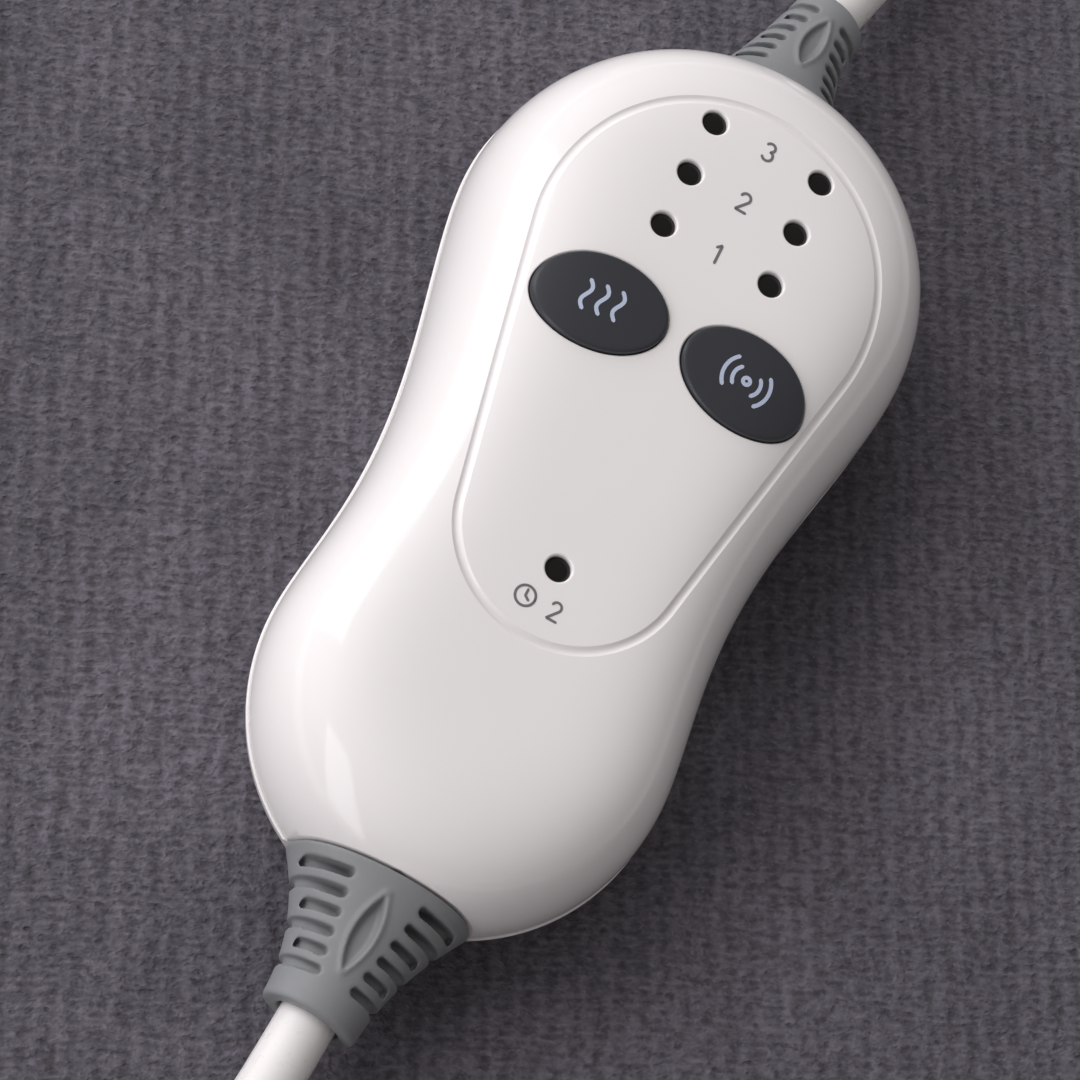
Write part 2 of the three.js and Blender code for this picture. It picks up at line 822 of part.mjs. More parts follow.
function outlineSlab(inset, bottom, top) {
  const ring = (height) => housingOutline(inset).map(({ x, y }) => new THREE.Vector3(x, y, height));
  return ringSolid([ring(bottom), ring(top)]);
}

const screwPlaces = [
  [lampScrewX, lampScrewY], [-lampScrewX, lampScrewY], [cordScrewX, cordScrewY], [-cordScrewX, cordScrewY],
];
const boardPinPlaces = [[0, boardLampEnd - boardPinInset], [0, boardCordEnd + boardPinInset]];
const boardBottom = boardTop - boardThickness;
const underBoard = boardBottom - gap;

function reliefHoles() {
  const reach = housingWall + overrun;
  const hole = (radius, from, to) => rodAlongY(radius + gap, from, to, 0, reliefAxisHeight, reliefSides);
  return hole(mainsNeckRadius, cordEnd - overrun, cordEnd + reach)
    .add(hole(padNeckRadius, lampEnd - reach, lampEnd + overrun));
}

function ovalPrism(grow, bottom, top, side) {
  const shape = new THREE.Shape();
  const tilt = -side * buttonTilt * degrees;
  shape.absellipse(0, 0, buttonHalfLength + grow, buttonHalfWidth + grow, 0, 2 * Math.PI, false, tilt);
  const outline = new THREE.Shape(shape.getPoints(buttonSides).slice(0, -1));
  const geometry = new THREE.ExtrudeGeometry(outline, { depth: top - bottom, bevelEnabled: false, steps: 1 });
  return solid(geometry.translate(side * buttonX, buttonY, bottom));
}

function groovePath() {
  const rise = Math.asin((grooveWideRadius - grooveEndRadius) / (grooveWideY - grooveEndY));
  const arc = (radius, y, from, to, steps) => Array.from({ length: steps + 1 }, (_, step) => {
    const angle = from + (to - from) * step / steps;
    return [radius * Math.cos(angle), y + radius * Math.sin(angle)];
  });
  const wide = arc(grooveWideRadius, grooveWideY, -rise, Math.PI + rise, grooveWideSteps);
  const end = arc(grooveEndRadius, grooveEndY, Math.PI + rise, 2 * Math.PI - rise, grooveEndSteps);
  const side = (from, to) => Array.from({ length: grooveSideSteps - 1 }, (_, step) => {
    const share = (step + 1) / grooveSideSteps;
    return [from[0] + (to[0] - from[0]) * share, from[1] + (to[1] - from[1]) * share];
  });
  return [...wide, ...side(wide[wide.length - 1], end[0]), ...end, ...side(end[end.length - 1], wide[0])];
}

function grooveCutter() {
  const points = groovePath().map(([x, y]) => new THREE.Vector3(x, y, topHeight(x, y, 0)));
  return solid(tubeSkin(points, grooveHalfWidth, grooveSides, true));
}

const lampPlaces = [-1, 1].flatMap((side) => Array.from({ length: lampRows }, (_, row) => ({
  name: `${side < 0 ? 'heat' : 'massage'}_lamp_${lampRows - row}`,
  x: side * lampX,
  y: lampTopRowY - row * lampRowPitch,
})));

function makeTopShell() {
  const pinFoot = boardBottom - boardPinReach;
  const bosses = joined([
    ...screwPlaces.map(([x, y]) => post(bossRadius, partingHeight, housingSpan, x, y, screwSides)),
    ...boardPinPlaces.map(([x, y]) => post(boardBossRadius, boardTop + gap, housingSpan, x, y, screwSides)),
    ...boardPinPlaces.map(([x, y]) => post(boardPinRadius, pinFoot, housingSpan, x, y, screwSides)),
  ]).intersect(housingHalf(housingWall / 2, true, 0));
  const screwHoles = joined(screwPlaces.map(([x, y]) => post(
    screwRadius + gap, partingHeight - overrun, partingHeight + screwDepth + overrun, x, y, screwSides,
  )));
  const cavity = housingHalf(housingWall, true, overrun)
    .intersect(between(cordEnd + housingWall, lampEnd - housingWall));
  const windows = joined([
    ...[-1, 1].map((side) => ovalPrism(buttonClearance, boardTop, housingSpan, side)),
    ...lampPlaces.map(({ x, y }) => post(lampHoleRadius, boardTop, housingSpan, x, y, holeSides)),
    post(lampHoleRadius, boardTop, housingSpan, 0, autoLampY, holeSides),
  ]);
  const shell = housingHalf(0, true, 0)
    .intersect(between(cordEnd, lampEnd))
    .subtract(cavity)
    .add(bosses)
    .subtract(screwHoles)
    .subtract(windows)
    .subtract(grooveCutter())
    .subtract(reliefHoles());
  addPiece(controller, 'housing_top', shell, housingWhite, 0.18);
}

function makeBottomShell() {
  const lipIn = housingWall + gap + lipThickness;
  const room = housingWall + reliefFlangeThickness + 2 * gap + overrun;
  const lip = outlineSlab(housingWall + gap, partingHeight - lipRoot, partingHeight + lipHeight)
    .add(outlineSlab(housingWall / 2, partingHeight - lipRoot, partingHeight - 2 * gap))
    .subtract(outlineSlab(lipIn, 0, housingSpan))
    .intersect(between(cordEnd + room, lampEnd - room));
  const top = partingHeight - gap;
  const posts = joined(screwPlaces.map(([x, y]) => post(postRadius, 0, top, x, y, screwSides)))
    .intersect(housingHalf(housingWall / 2, false, 0));
  const cavity = housingHalf(housingWall, false, overrun)
    .intersect(between(cordEnd + housingWall, lampEnd - housingWall));
  const bores = joined(screwPlaces.flatMap(([x, y]) => [
    post(screwRadius + gap, -overrun, housingSpan, x, y, screwSides),
    post(screwHeadRadius + gap, -overrun, screwHeadTop + gap, x, y, screwSides),
  ]));
  const shell = housingHalf(0, false, 0)
    .intersect(between(cordEnd, lampEnd))
    .subtract(cavity)
    .intersect(block(housingSpan, housingSpan, top + overrun, 0, 0, -overrun))
    .add(posts)
    .add(lip)
    .subtract(bores)
    .subtract(reliefHoles());
  addPiece(controller, 'housing_bottom', shell, housingWhite, 0.22);
}

function makeButtons() {
  [['heat', -1], ['massage', 1]].forEach(([name, side]) => {
    const cap = ovalPrism(0, buttonFloor, housingSpan, side).intersect(housingHalf(-buttonProud, true, 0));
    const flange = ovalPrism(buttonFlange, buttonFloor, housingSpan, side)
      .intersect(housingHalf(housingWall + gap, true, 0));
    addPiece(controller, `${name}_button`, cap.add(flange), buttonCharcoal, 0.4);
    const x = side * buttonX;
    const switchTop = boardTop + gap + switchHeight;
    const wellFloor = switchTop - plungerSunk - buttonTravel - gap;
    const body = block(switchWidth, switchWidth, switchHeight, x, buttonY, boardTop + gap)
      .subtract(post(plungerRadius + gap, wellFloor, switchTop + overrun, x, buttonY, plungerSides));
    const plunger = post(plungerRadius, switchTop - plungerSunk, buttonFloor - gap, x, buttonY, plungerSides);
    addPiece(controller, `${name}_switch`, body, partBlack, 0.5);
    addPiece(controller, `${name}_plunger`, plunger, feltWhite, 0.5);
  });
}

function lampBody(x, y, top) {
  const bottom = top - lampHeight;
  const shoulder = top - lampRadius;
  const profile = [
    [0, bottom],
    [lampRadius + lampFlange, bottom],
    [lampRadius + lampFlange, bottom + lampFlangeHeight],
    [lampRadius, bottom + lampFlangeHeight],
    [lampRadius, shoulder],
    [lampRadius * Math.cos(Math.PI / 4), shoulder + lampRadius * Math.sin(Math.PI / 4)],
    [0, top],
  ].map(([out, height]) => new THREE.Vector2(out, height));
  const dome = new THREE.LatheGeometry(profile, lampSides).rotateX(Math.PI / 2).translate(x, y, 0);
  const leads = [-1, 1].map((side) => block(
    lampLeadWidth, lampLeadWidth, bottom - boardTop, x + side * lampLeadSpacing / 2, y, boardTop + gap,
  ));
  return solid(dome).add(leads[0]).add(leads[1]);
}

function makeLamps() {
  lampPlaces.forEach(({ name, x, y }) => {
    const top = topHeight(x, y, 0) - lampSunk;
    addPiece(controller, name, lampBody(x, y, top), lensDark, 0.1);
  });
  const top = topHeight(0, autoLampY, 0) - autoLampSunk;
  addPiece(controller, 'auto_off_lamp', lampBody(0, autoLampY, top), lensDark, 0.1);
}

function makeBoard() {
  const board = outlineSlab(boardInset, boardBottom, boardTop)
    .intersect(between(boardCordEnd, boardLampEnd))
    .subtract(joined([
      ...screwPlaces.map(([x, y]) => post(bossRadius + gap, 0, housingSpan, x, y, screwSides)),
      ...boardPinPlaces.map(([x, y]) => post(boardPinRadius + gap, 0, housingSpan, x, y, screwSides)),
    ]));
  addPiece(controller, 'circuit_board', board, boardGreen, 0.5);
  const transformerBottom = underBoard - transformerHeight;
  const core = block(
    transformerWidth - 2 * bobbinInset, transformerLength, transformerHeight,
    0, transformerY, transformerBottom,
  );
  const bobbin = block(
    transformerWidth, transformerLength - 2 * bobbinInset, transformerHeight - bobbinInset,
    0, transformerY, transformerBottom + bobbinInset / 2,
  );
  addPiece(controller, 'transformer', core.add(bobbin), partBlack, 0.5);
  addPiece(controller, 'smoothing_capacitor', post(
    capacitorRadius, underBoard - capacitorHeight, underBoard, capacitorX, capacitorY, holeSides,
  ), partBlack, 0.35);
  const fuseHeight = underBoard - fuseRadius - fuseCapStep;
  const glass = rodAlongY(
    fuseRadius - fuseCapStep, fuseY - fuseLength / 2, fuseY + fuseLength / 2, fuseX, fuseHeight, plungerSides,
  );
  const caps = [-1, 1].map((side) => {
    const end = fuseY + side * fuseLength / 2;
    const inner = end - side * fuseCapLength;
    return rodAlongY(fuseRadius, Math.min(end, inner), Math.max(end, inner), fuseX, fuseHeight, plungerSides);
  });
  addPiece(controller, 'fuse', glass.add(caps[0]).add(caps[1]), metalGrey, 0.2, 0.6);
  addPiece(controller, 'microcontroller', block(
    chipWidth, chipLength, chipHeight, 0, chipY, boardTop + gap,
  ), partBlack, 0.5);
  addPiece(controller, 'mains_terminal', block(
    mainsTerminalWidth, mainsTerminalLength, mainsTerminalHeight,
    0, mainsTerminalY, underBoard - mainsTerminalHeight,
  ), feltWhite, 0.5);
  addPiece(controller, 'output_terminal', block(
    outputTerminalWidth, outputTerminalLength, outputTerminalHeight,
    0, outputTerminalY, underBoard - outputTerminalHeight,
  ), feltWhite, 0.5);
}

function makePowerSwitch() {
  const bottom = underBoard - sinkHeight;
  const plate = block(sinkWidth, sinkThickness, sinkHeight, sinkX, sinkY, bottom);
  const finPitch = (sinkWidth - sinkThickness) / (sinkFins - 1);
  const fins = Array.from({ length: sinkFins }, (_, index) => block(
    sinkThickness / 2, sinkFinDepth + sinkThickness / 2, sinkHeight,
    sinkX + (index - (sinkFins - 1) / 2) * finPitch, sinkY + sinkFinDepth / 2, bottom,
  ));
  addPiece(controller, 'heat_sink', joined([plate, ...fins]), metalGrey, 0.35, 0.9);
  addPiece(controller, 'triac', block(
    triacWidth, triacThickness, triacHeight, sinkX, sinkY - sinkThickness / 2 - gap - triacThickness / 2,
    underBoard - triacHeight,
  ), partBlack, 0.5);
}

function makeScrews() {
  screwPlaces.forEach(([x, y], index) => {
    const shaftBottom = screwHeadTop - screwHeadHeight / 2;
    const shaft = post(screwRadius, shaftBottom, partingHeight + screwDepth, x, y, screwSides);
    const head = post(screwHeadRadius, screwHeadTop - screwHeadHeight, screwHeadTop, x, y, screwSides);
    addPiece(controller, `housing_screw_${index + 1}`, head.add(shaft), metalGrey, 0.3, 0.9);
  });
}

// Each bundle of leads is a flat ribbon whose wires touch
function leadRibbon(count, radius, from, to) {
  const spacing = 2 * radius * ribbonOverlapShare;
  return joined(Array.from({ length: count }, (_, index) => rodAlongY(
    radius, from, to, (index - (count - 1) / 2) * spacing, reliefAxisHeight, leadSides,
  )));
}

function makeInternalLeads() {
  const flangeDepth = housingWall + gap + reliefFlangeThickness + gap;
  const mainsStop = mainsTerminalY - mainsTerminalLength / 2 - gap;
  const outputStart = outputTerminalY + outputTerminalLength / 2 + gap;
  const mains = leadRibbon(mainsLeadCount, mainsLeadRadius, cordEnd + flangeDepth, mainsStop);
  const output = leadRibbon(outputLeadCount, outputLeadRadius, outputStart, lampEnd - flangeDepth);
  addPiece(controller, 'mains_leads', mains, partBlack, 0.5);
  addPiece(controller, 'output_leads', output, partBlack, 0.5);
}

// Strain reliefs: the root fills out the housing's cut end, and the body tapers to a round collar

const reliefSizes = {
  [-1]: {
    end: cordEnd,
    halfWidth: mainsReliefHalfWidth,
    collar: mainsCollarRadius,
    neck: mainsNeckRadius,
    flange: mainsFlangeRadius,
    slotFirst: mainsSlotFirst,
    lensStart: mainsLensStart,
  },
  1: {
    end: lampEnd,
    halfWidth: padReliefHalfWidth,
    collar: padCollarRadius,
    neck: padNeckRadius,
    flange: padFlangeRadius,
    slotFirst: padSlotFirst,
    lensStart: padLensStart,
  },
};

function reliefPlace(side, lean, share) {
  const { end } = reliefSizes[side];
  const along = gap + (reliefLength - gap) * share;
  const tangent = new THREE.Vector3(2 * lean * share, side * reliefLength, 0).normalize();
  const across = new THREE.Vector3(side * tangent.y, -side * tangent.x, 0);
  const centre = new THREE.Vector3(lean * share ** 2, end + side * along, reliefAxisHeight);
  return { centre, tangent, across };
}

function taperAt(share) {
  return (1 - share) ** reliefTaperPower;
}

function reliefRing(side, lean, share) {
  const { centre, across } = reliefPlace(side, lean, share);
  const { end, halfWidth, collar } = reliefSizes[side];
  const keep = taperAt(share);
  return Array.from({ length: reliefSides }, (_, step) => {
    const angle = step / reliefSides * 2 * Math.PI;
    const rootX = halfWidth * Math.cos(angle);
    const upper = angle <= Math.PI;
    const rootZ = upper ? topHeight(rootX, end, 0) : footHeight(rootX, end, 0);
    const x = rootX * keep + collar * Math.cos(angle) * (1 - keep);
    const z = rootZ * keep + (reliefAxisHeight + collar * Math.sin(angle)) * (1 - keep);
    return new THREE.Vector3(centre.x, centre.y, 0).addScaledVector(across, x).setZ(z);
  });
}

function reliefTop(side, share) {
  const { end, collar } = reliefSizes[side];
  const keep = taperAt(share);
  return topHeight(0, end, 0) * keep + (reliefAxisHeight + collar) * (1 - keep);
}

function slotCutter(side, lean) {
  const { halfWidth, collar, slotFirst } = reliefSizes[side];
  const slots = Array.from({ length: slotCount }, (_, index) => {
    const share = (slotFirst + index * slotPitch) / reliefLength;
    const { centre, tangent } = reliefPlace(side, lean, share);
    const turn = Math.atan2(tangent.y, tangent.x) - side * Math.PI / 2;
    const slot = new THREE.BoxGeometry(halfWidth * 3, slotWidth, halfWidth * 4);
    return solid(slot.rotateZ(turn).translate(centre.x, centre.y, centre.z));
  });
  const shares = [-slotFirst / reliefLength, 0.5, 1 + slotFirst / reliefLength];
  const places = shares.map((share) => reliefPlace(side, lean, share));
  const line = places.map(({ centre }) => centre);
  const core = solid(tubeSkin(line, collar * slotFloorShare, slotFloorSides));
  const web = ringSolid(places.map(({ centre, across }, index) => {
    const half = webHalfWidth * (1 - shares[index] * webTaperShare);
    return [[-1, -1], [1, -1], [1, 1], [-1, 1]].map(([x, z]) => centre.clone()
      .addScaledVector(across, x * half)
      .setZ(reliefAxisHeight + z * halfWidth * 2));
  }), ['x', 'z']);
  return joined(slots).subtract(core).subtract(web);
}

function lensCutter(side, lean) {
  const { halfWidth, lensStart } = reliefSizes[side];
  const bow = (lensHalfLength ** 2 - lensHalfWidth ** 2) / (2 * lensHalfWidth);
  const radius = bow + lensHalfWidth;
  const reach = Math.asin(lensHalfLength / radius);
  const arc = (turn) => Array.from({ length: lensSteps }, (_, step) => {
    const angle = -reach + 2 * reach * step / lensSteps;
    return new THREE.Vector2(turn * (radius * Math.cos(angle) - bow), turn * radius * Math.sin(angle));
  });
  const shape = new THREE.Shape([...arc(1), ...arc(-1)]);
  const prism = new THREE.ExtrudeGeometry(shape, { depth: halfWidth, bevelEnabled: false, steps: 1 });
  const from = lensStart / reliefLength;
  const to = (lensStart + 2 * lensHalfLength) / reliefLength;
  const middle = (from + to) / 2;
  const fall = Math.atan2(reliefTop(side, from) - reliefTop(side, to), 2 * lensHalfLength);
  const { centre, tangent } = reliefPlace(side, lean, middle);
  const turn = Math.atan2(tangent.y, tangent.x) - side * Math.PI / 2;
  const floor = (reliefTop(side, from) + reliefTop(side, to)) / 2 - lensDepth;
  return solid(prism.rotateX(-side * fall).rotateZ(turn).translate(centre.x, centre.y, floor));
}

function makeRelief(name, side, lean) {
  const body = ringSolid(reliefRingShares.map((share) => reliefRing(side, lean, share)), ['x', 'z'])
    .subtract(slotCutter(side, lean))
    .subtract(lensCutter(side, lean));
  const { end, neck, flange } = reliefSizes[side];
  const wallInner = end - side * (housingWall + gap);
  const flangeInner = wallInner - side * reliefFlangeThickness;
  const rod = (radius, from, to) => rodAlongY(
    radius, Math.min(from, to), Math.max(from, to), 0, reliefAxisHeight, reliefSides,
  );
  const plug = rod(neck, flangeInner, end + side * overrun).add(rod(flange, flangeInner, wallInner));
  addPiece(controller, name, body.add(plug), reliefGrey, 0.7);
}

// Cords

function smoothStep(share) {
  return share * share * (3 - 2 * share);
}

// The turns spiral in and out by layers, and climb a layer in each half turn between them
function coilPath(coil) {
  const perLayer = (coil.turns - (coil.layers - 1) / 2) / coil.layers;
  const band = perLayer * coilPitch;
  const outer = coilMiddleRadius + band / 2;
  const count = Math.round(coil.turns * coilSteps);
  const turned = Array.from({ length: count + 1 }, (_, step) => {
    const turn = coil.turns * step / count;
    const leg = perLayer + 0.5;
    const layer = Math.min(Math.floor(turn / leg + turnRounding), coil.layers - 1);
    const along = turn - layer * leg;
    const spiral = Math.min(along / perLayer, 1);
    const climb = Math.max(along - perLayer, 0) * 2;
    const inward = layer % 2 === 0;
    const bulge = coilTurnBulge * Math.sin(Math.PI * climb) * (inward ? -1 : 1);
    const radius = outer - band * (inward ? spiral : 1 - spiral) + bulge;
    const angle = coil.start * degrees + turn * 2 * Math.PI;
    return new THREE.Vector3(
      coil.x + radius * Math.cos(angle),
      coil.y + radius * Math.sin(angle),
      coil.rest + coilLayerRise * (layer + smoothStep(climb)),
    );
  });
  const heading = (turns) => {
    const angle = coil.start * degrees + turns * 2 * Math.PI;
    return new THREE.Vector3(-Math.sin(angle), Math.cos(angle), 0);
  };
  const into = heading(0);
  const out = heading(coil.turns);
  const first = turned[0].clone().addScaledVector(into, -cordDiameter);
  const last = turned[count].clone().addScaledVector(out, cordDiameter);
  return { points: [first, ...turned, last], into, out, first, last };
}

// The least distance between the surfaces of turns that lie beside or on each other
function leastSelfGap(path) {
  const skip = Math.ceil(coilSteps / 3);
  let least = Infinity;
  path.forEach((point, index) => {
    for (let other = index + skip; other + 1 < path.length; other += 1) {
      const line = new THREE.Line3(path[other], path[other + 1]);
      const near = line.closestPointToPoint(point, true, new THREE.Vector3());
      least = Math.min(least, near.distanceTo(point));
    }
  });
  return least - cordDiameter;
}

function cordSection() {
  const radius = cordDiameter / 2;
  const points = Array.from({ length: cordSides }, (_, step) => {
    const angle = (step + 0.5) / cordSides * 2 * Math.PI;
    return new THREE.Vector2(radius * Math.cos(angle), radius * Math.sin(angle));
  });
  return new THREE.Shape(points);
}

function cordStretch(points, steps) {
  const path = new THREE.CatmullRomCurve3(points, false, 'centripetal');
  return solid(new THREE.ExtrudeGeometry(cordSection(), { steps, extrudePath: path, curveSegments: 1 }));
}

const cordRest = padThickness + gap + cordDiameter / 2;

function onPad([x, y, lift]) {
  return new THREE.Vector3(x, y, cordRest + lift);
}

function reliefExit(side, lean) {
  controller.updateMatrixWorld(true);
  const { centre, tangent } = reliefPlace(side, lean, 1);
  const at = centre.clone().addScaledVector(tangent, gap).applyMatrix4(controller.matrixWorld);
  const heading = tangent.clone().transformDirection(controller.matrixWorld);
  return { at, heading };
}

function straightFrom(start, heading, distances) {
  return distances.map((distance) => start.clone().addScaledVector(heading, distance));
}

const mainsCoil = {
  x: mainsCoilX,
  y: mainsCoilY,
  start: mainsCoilStart,
  turns: mainsCoilTurns,
  layers: mainsCoilLayers,
  rest: cordRest,
};
const padCoil = {
  x: padCoilX,
  y: padCoilY,
  start: padCoilStart,
  turns: padCoilTurns,
  layers: padCoilLayers,
  rest: cordRest,
};

function makeMainsCord() {
  const exit = reliefExit(-1, mainsReliefLean);
  const coil = coilPath(mainsCoil);
  const near = [
    ...straightFrom(exit.at, exit.heading, [0, cordDiameter, 2 * cordDiameter]),
    ...mainsNearRoute.map(onPad),
    ...straightFrom(coil.first, coil.into, [-cordDiameter - gap, -gap]),
  ];
  addPiece(product, 'mains_cord_near', cordStretch(near, nearSteps), cordWhite, 0.3);
  addPiece(product, 'mains_cord_coil', tubeSkin(coil.points, cordDiameter / 2, coilSides), cordWhite, 0.3);
  const far = [
    ...straightFrom(coil.last, coil.out, [gap, cordDiameter]),
    ...mainsFarRoute.map(onPad),
    ...straightFrom(plugEnd(), new THREE.Vector3(1, 0, 0), [-cordDiameter - gap, -gap]),
  ];
  addPiece(product, 'mains_cord_far', cordStretch(far, mainsFarSteps), cordWhite, 0.3);
  console.log('mains coil least gap to itself', leastSelfGap(coil.points).toFixed(2));
}

function plugEnd() {
  return new THREE.Vector3(plugX, mainsCoilY - plugAside, padThickness + gap + plugThickness / 2);
}

function makePlug() {
  const end = plugEnd();
  const bootEnd = end.x + plugBootLength;
  const bootRings = plugBootShares.map((share) => {
    const wide = smoothStep(share);
    const halfWidth = plugBootRadius + (plugWidth / 2 - plugBootRadius) * wide;
    const halfHeight = plugBootRadius + (plugThickness / 2 - plugBootRadius) * wide;
    return plugRing(end.x + plugBootLength * share, halfWidth, halfHeight, end);
  });
  const faceX = bootEnd + plugBodyLength;
  const body = ringSolid([
    ...bootRings,
    plugRing(faceX, plugWidth / 2, plugThickness / 2, end),
  ], ['y', 'z']);
  addPiece(product, 'plug_body', body, cordWhite, 0.35);
  [-1, 1].forEach((side, index) => {
    const blade = block(
      bladeLength, bladeThickness, bladeWidth, faceX + gap + bladeLength / 2, end.y + side * bladeSpacing / 2,
      end.z - bladeWidth / 2,
    );
    addPiece(product, `plug_blade_${index + 1}`, blade, metalGrey, 0.25, 0.9);
  });
}

function plugRing(x, halfWidth, halfHeight, end) {
  return Array.from({ length: holeSides }, (_, step) => {
    const angle = (step + 0.5) / holeSides * 2 * Math.PI;
    const flat = (value) => Math.sign(value) * Math.abs(value) ** plugCornerPower;
    return new THREE.Vector3(
      x, end.y + halfWidth * flat(Math.cos(angle)), end.z + halfHeight * flat(Math.sin(angle)),
    );
  });
}

function makePadCord() {
  const exit = reliefExit(1, padReliefLean);
  const coil = coilPath(padCoil);
  const near = [
    ...straightFrom(exit.at, exit.heading, [0, cordDiameter, 2 * cordDiameter]),
    ...padNearRoute.map(onPad),
    ...straightFrom(coil.first, coil.into, [-cordDiameter - gap, -gap]),
  ];
  addPiece(product, 'pad_cord_near', cordStretch(near, nearSteps), cordWhite, 0.3);
  addPiece(product, 'pad_cord_coil', tubeSkin(coil.points, cordDiameter / 2, coilSides), cordWhite, 0.3);
  const inletEnd = new THREE.Vector3(inletX, padLength / 2 + gap + inletBootLength + gap, padSeamHeight);
  const far = [
    ...straightFrom(coil.last, coil.out, [gap, cordDiameter]),
    ...padFarRoute.map(onPad),
    ...floorRoute.map(([x, y, height]) => new THREE.Vector3(x, y, height)),
    ...straightFrom(inletEnd, new THREE.Vector3(0, 1, 0), [cordDiameter, 0]),
  ];
  addPiece(product, 'pad_cord_far', cordStretch(far, padFarSteps), cordWhite, 0.3);
  console.log('pad cord coil least gap to itself', leastSelfGap(coil.points).toFixed(2));
}

makeCovers();
makeFill();
makeHeater();
podPlaces.forEach((y, index) => makePod(y, index + 1));
makeMotorLeads();
makeInlet();
makeTopShell();
makeBottomShell();
makeButtons();
makeLamps();
makeBoard();
makePowerSwitch();
makeScrews();
makeInternalLeads();
makeRelief('mains_strain_relief', -1, mainsReliefLean);
makeRelief('pad_strain_relief', 1, padReliefLean);
makeMainsCord();
makePlug();
makePadCord();

export default product;
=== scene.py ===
"""Heating pad with a hand controller: the plush pad, the controller, its cords and their finishes."""

import json
import math

import bmesh
import bpy
import numpy as np
from bpy.props import FloatProperty, FloatVectorProperty, PointerProperty
from mathutils import Matrix, Quaternion, Vector


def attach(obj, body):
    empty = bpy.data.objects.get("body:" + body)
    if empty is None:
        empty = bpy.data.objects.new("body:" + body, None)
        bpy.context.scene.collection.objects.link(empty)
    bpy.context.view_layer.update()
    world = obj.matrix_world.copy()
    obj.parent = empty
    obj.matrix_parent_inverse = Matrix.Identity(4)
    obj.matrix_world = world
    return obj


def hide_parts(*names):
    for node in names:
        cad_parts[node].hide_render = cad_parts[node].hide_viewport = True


bl_info = {
    "name": "Heating pad with controller",
    "version": (1, 0, 0),
    "blender": (4, 5, 0),
    "location": "3D View > Sidebar > Heating Pad",
    "description": "Plush heating pad, hand controller, cords and plug",
    "category": "Add Mesh",
}

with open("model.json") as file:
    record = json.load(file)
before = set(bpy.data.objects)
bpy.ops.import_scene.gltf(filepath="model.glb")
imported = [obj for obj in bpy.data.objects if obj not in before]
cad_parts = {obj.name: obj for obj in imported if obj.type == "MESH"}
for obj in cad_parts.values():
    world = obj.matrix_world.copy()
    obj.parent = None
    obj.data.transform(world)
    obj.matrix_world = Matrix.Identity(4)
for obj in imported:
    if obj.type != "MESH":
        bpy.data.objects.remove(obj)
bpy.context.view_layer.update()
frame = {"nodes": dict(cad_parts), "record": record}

# The camera fitted to the photograph: focal length in its pixels, place in millimetres, and axes
PHOTO_PIXELS = 1080
FOCAL_PIXELS = 3200
CAMERA_PLACE = (-96.11, -114.71, 366.4)
CAMERA_RIGHT = (0.96381, 0.0, 0.26651)
CAMERA_DOWN = (0.08029, -0.95351, -0.29039)
CAMERA_AHEAD = (0.25412, 0.30128, -0.91904)

# Routes of the cords in millimetres: across, along, and how high over lying on the pad
MAINS_NEAR = [(-40.5, -86.5, 3.6), (-46, -98.5, 1)]
MAINS_FAR = [(12, -171, 19.2), (24, -172.5, 13), (36, -174, 6.4), (47, -175, 5.2)]
PAD_NEAR = [(47, 86.5, 3.4), (54, 97.5, 0.8)]
PAD_FAR = [
    (67.5, 154, 6.6), (67, 168, 3.4), (66, 182, 0.6), (64, 200, 0),
    (60, 225, 0), (56, 250, 0), (53, 272, 0), (52, 289, -0.3),
]
# Down over the pad's edge and back along the floor, with the height over the floor
PAD_FLOOR = [
    (52, 303, 24), (52, 314, 18.4), (52, 325, 11), (52, 336, 5.6), (52, 348, 3.6), (54, 364, 3.6),
    (64, 379, 3.6), (81, 386, 3.6), (98, 379, 3.9), (108, 364, 5.4), (110, 350, 7.8),
]
# Coils: the middle, where the first turn starts in degrees, the turns, and the layers
MAINS_COIL = ((-11.2, -127.5), 154.5, 7.321, 4)
PAD_COIL = ((28.5, 132), -32.3, 2.09, 2)
# How far a cord lies over the pad, and past the end of its strain relief
CORD_GAP = 0.3
# Where the mains cord goes into the plug: across, along, and how high over the pad
PLUG_PLACE = (62, -175.5, 8.8)
BLADE_SPACING = 12.7

# Distance of every lamp from the controller, and half the side of the floor, in metres
LAMP_DISTANCE = 3.2
FLOOR_HALF = 3
# Lamps: degrees round from +X, degrees up, width and height in metres, watts, degrees turned about the
# beam, and whether glossy surfaces mirror it
LAMPS = {
    "left_softbox": (139, 17, 1.07, 2.9, 21.8, 0, True),
    "left_strip": (-150, 18, 1.2, 3.2, 24.0, 35, True),
    "left_low": (-170, 14, 2.1, 1.3, 5.5, 0, False),
    "left_wall": (172, 28, 2.1, 1.7, 29.0, 0, False),
    "left_high": (145, 48, 1.7, 1.7, 31.4, 0, False),
    "back_low": (100, 18, 1.9, 1.5, 26.4, 0, False),
    "back_high": (112, 60, 1.9, 1.9, 22.8, 0, False),
    "right_low": (-70, 8, 2.0, 0.7, 8.0, 0, False),
}

# The controller, in millimetres of its own frame. The groove's circles are a radius and a place along.
SCREW_PLACES = ((18.5, 27.5), (-18.5, 27.5), (14.2, -36), (-14.2, -36))
GROOVE_CIRCLES = ((20.0, 24.0), (13.2, -11.2))
# How far the lower shell stands out past the upper one
LEDGE = 0.22
# Radius of the rounded mouths of the holes for buttons and lamps
WELL_MOUTH = 0.3
WELL_FLOOR = 12.0
# Radius of a button's edge, and the swell of its middle
BUTTON_EDGE = 0.42
BUTTON_CROWN = 0.08
# The gap round each lamp's lens, how deep its top sits under the surface, and how much that is domed
LENS_GAP = 0.04
LENS_SUNK = 0.4
LENS_DOME = 0.3
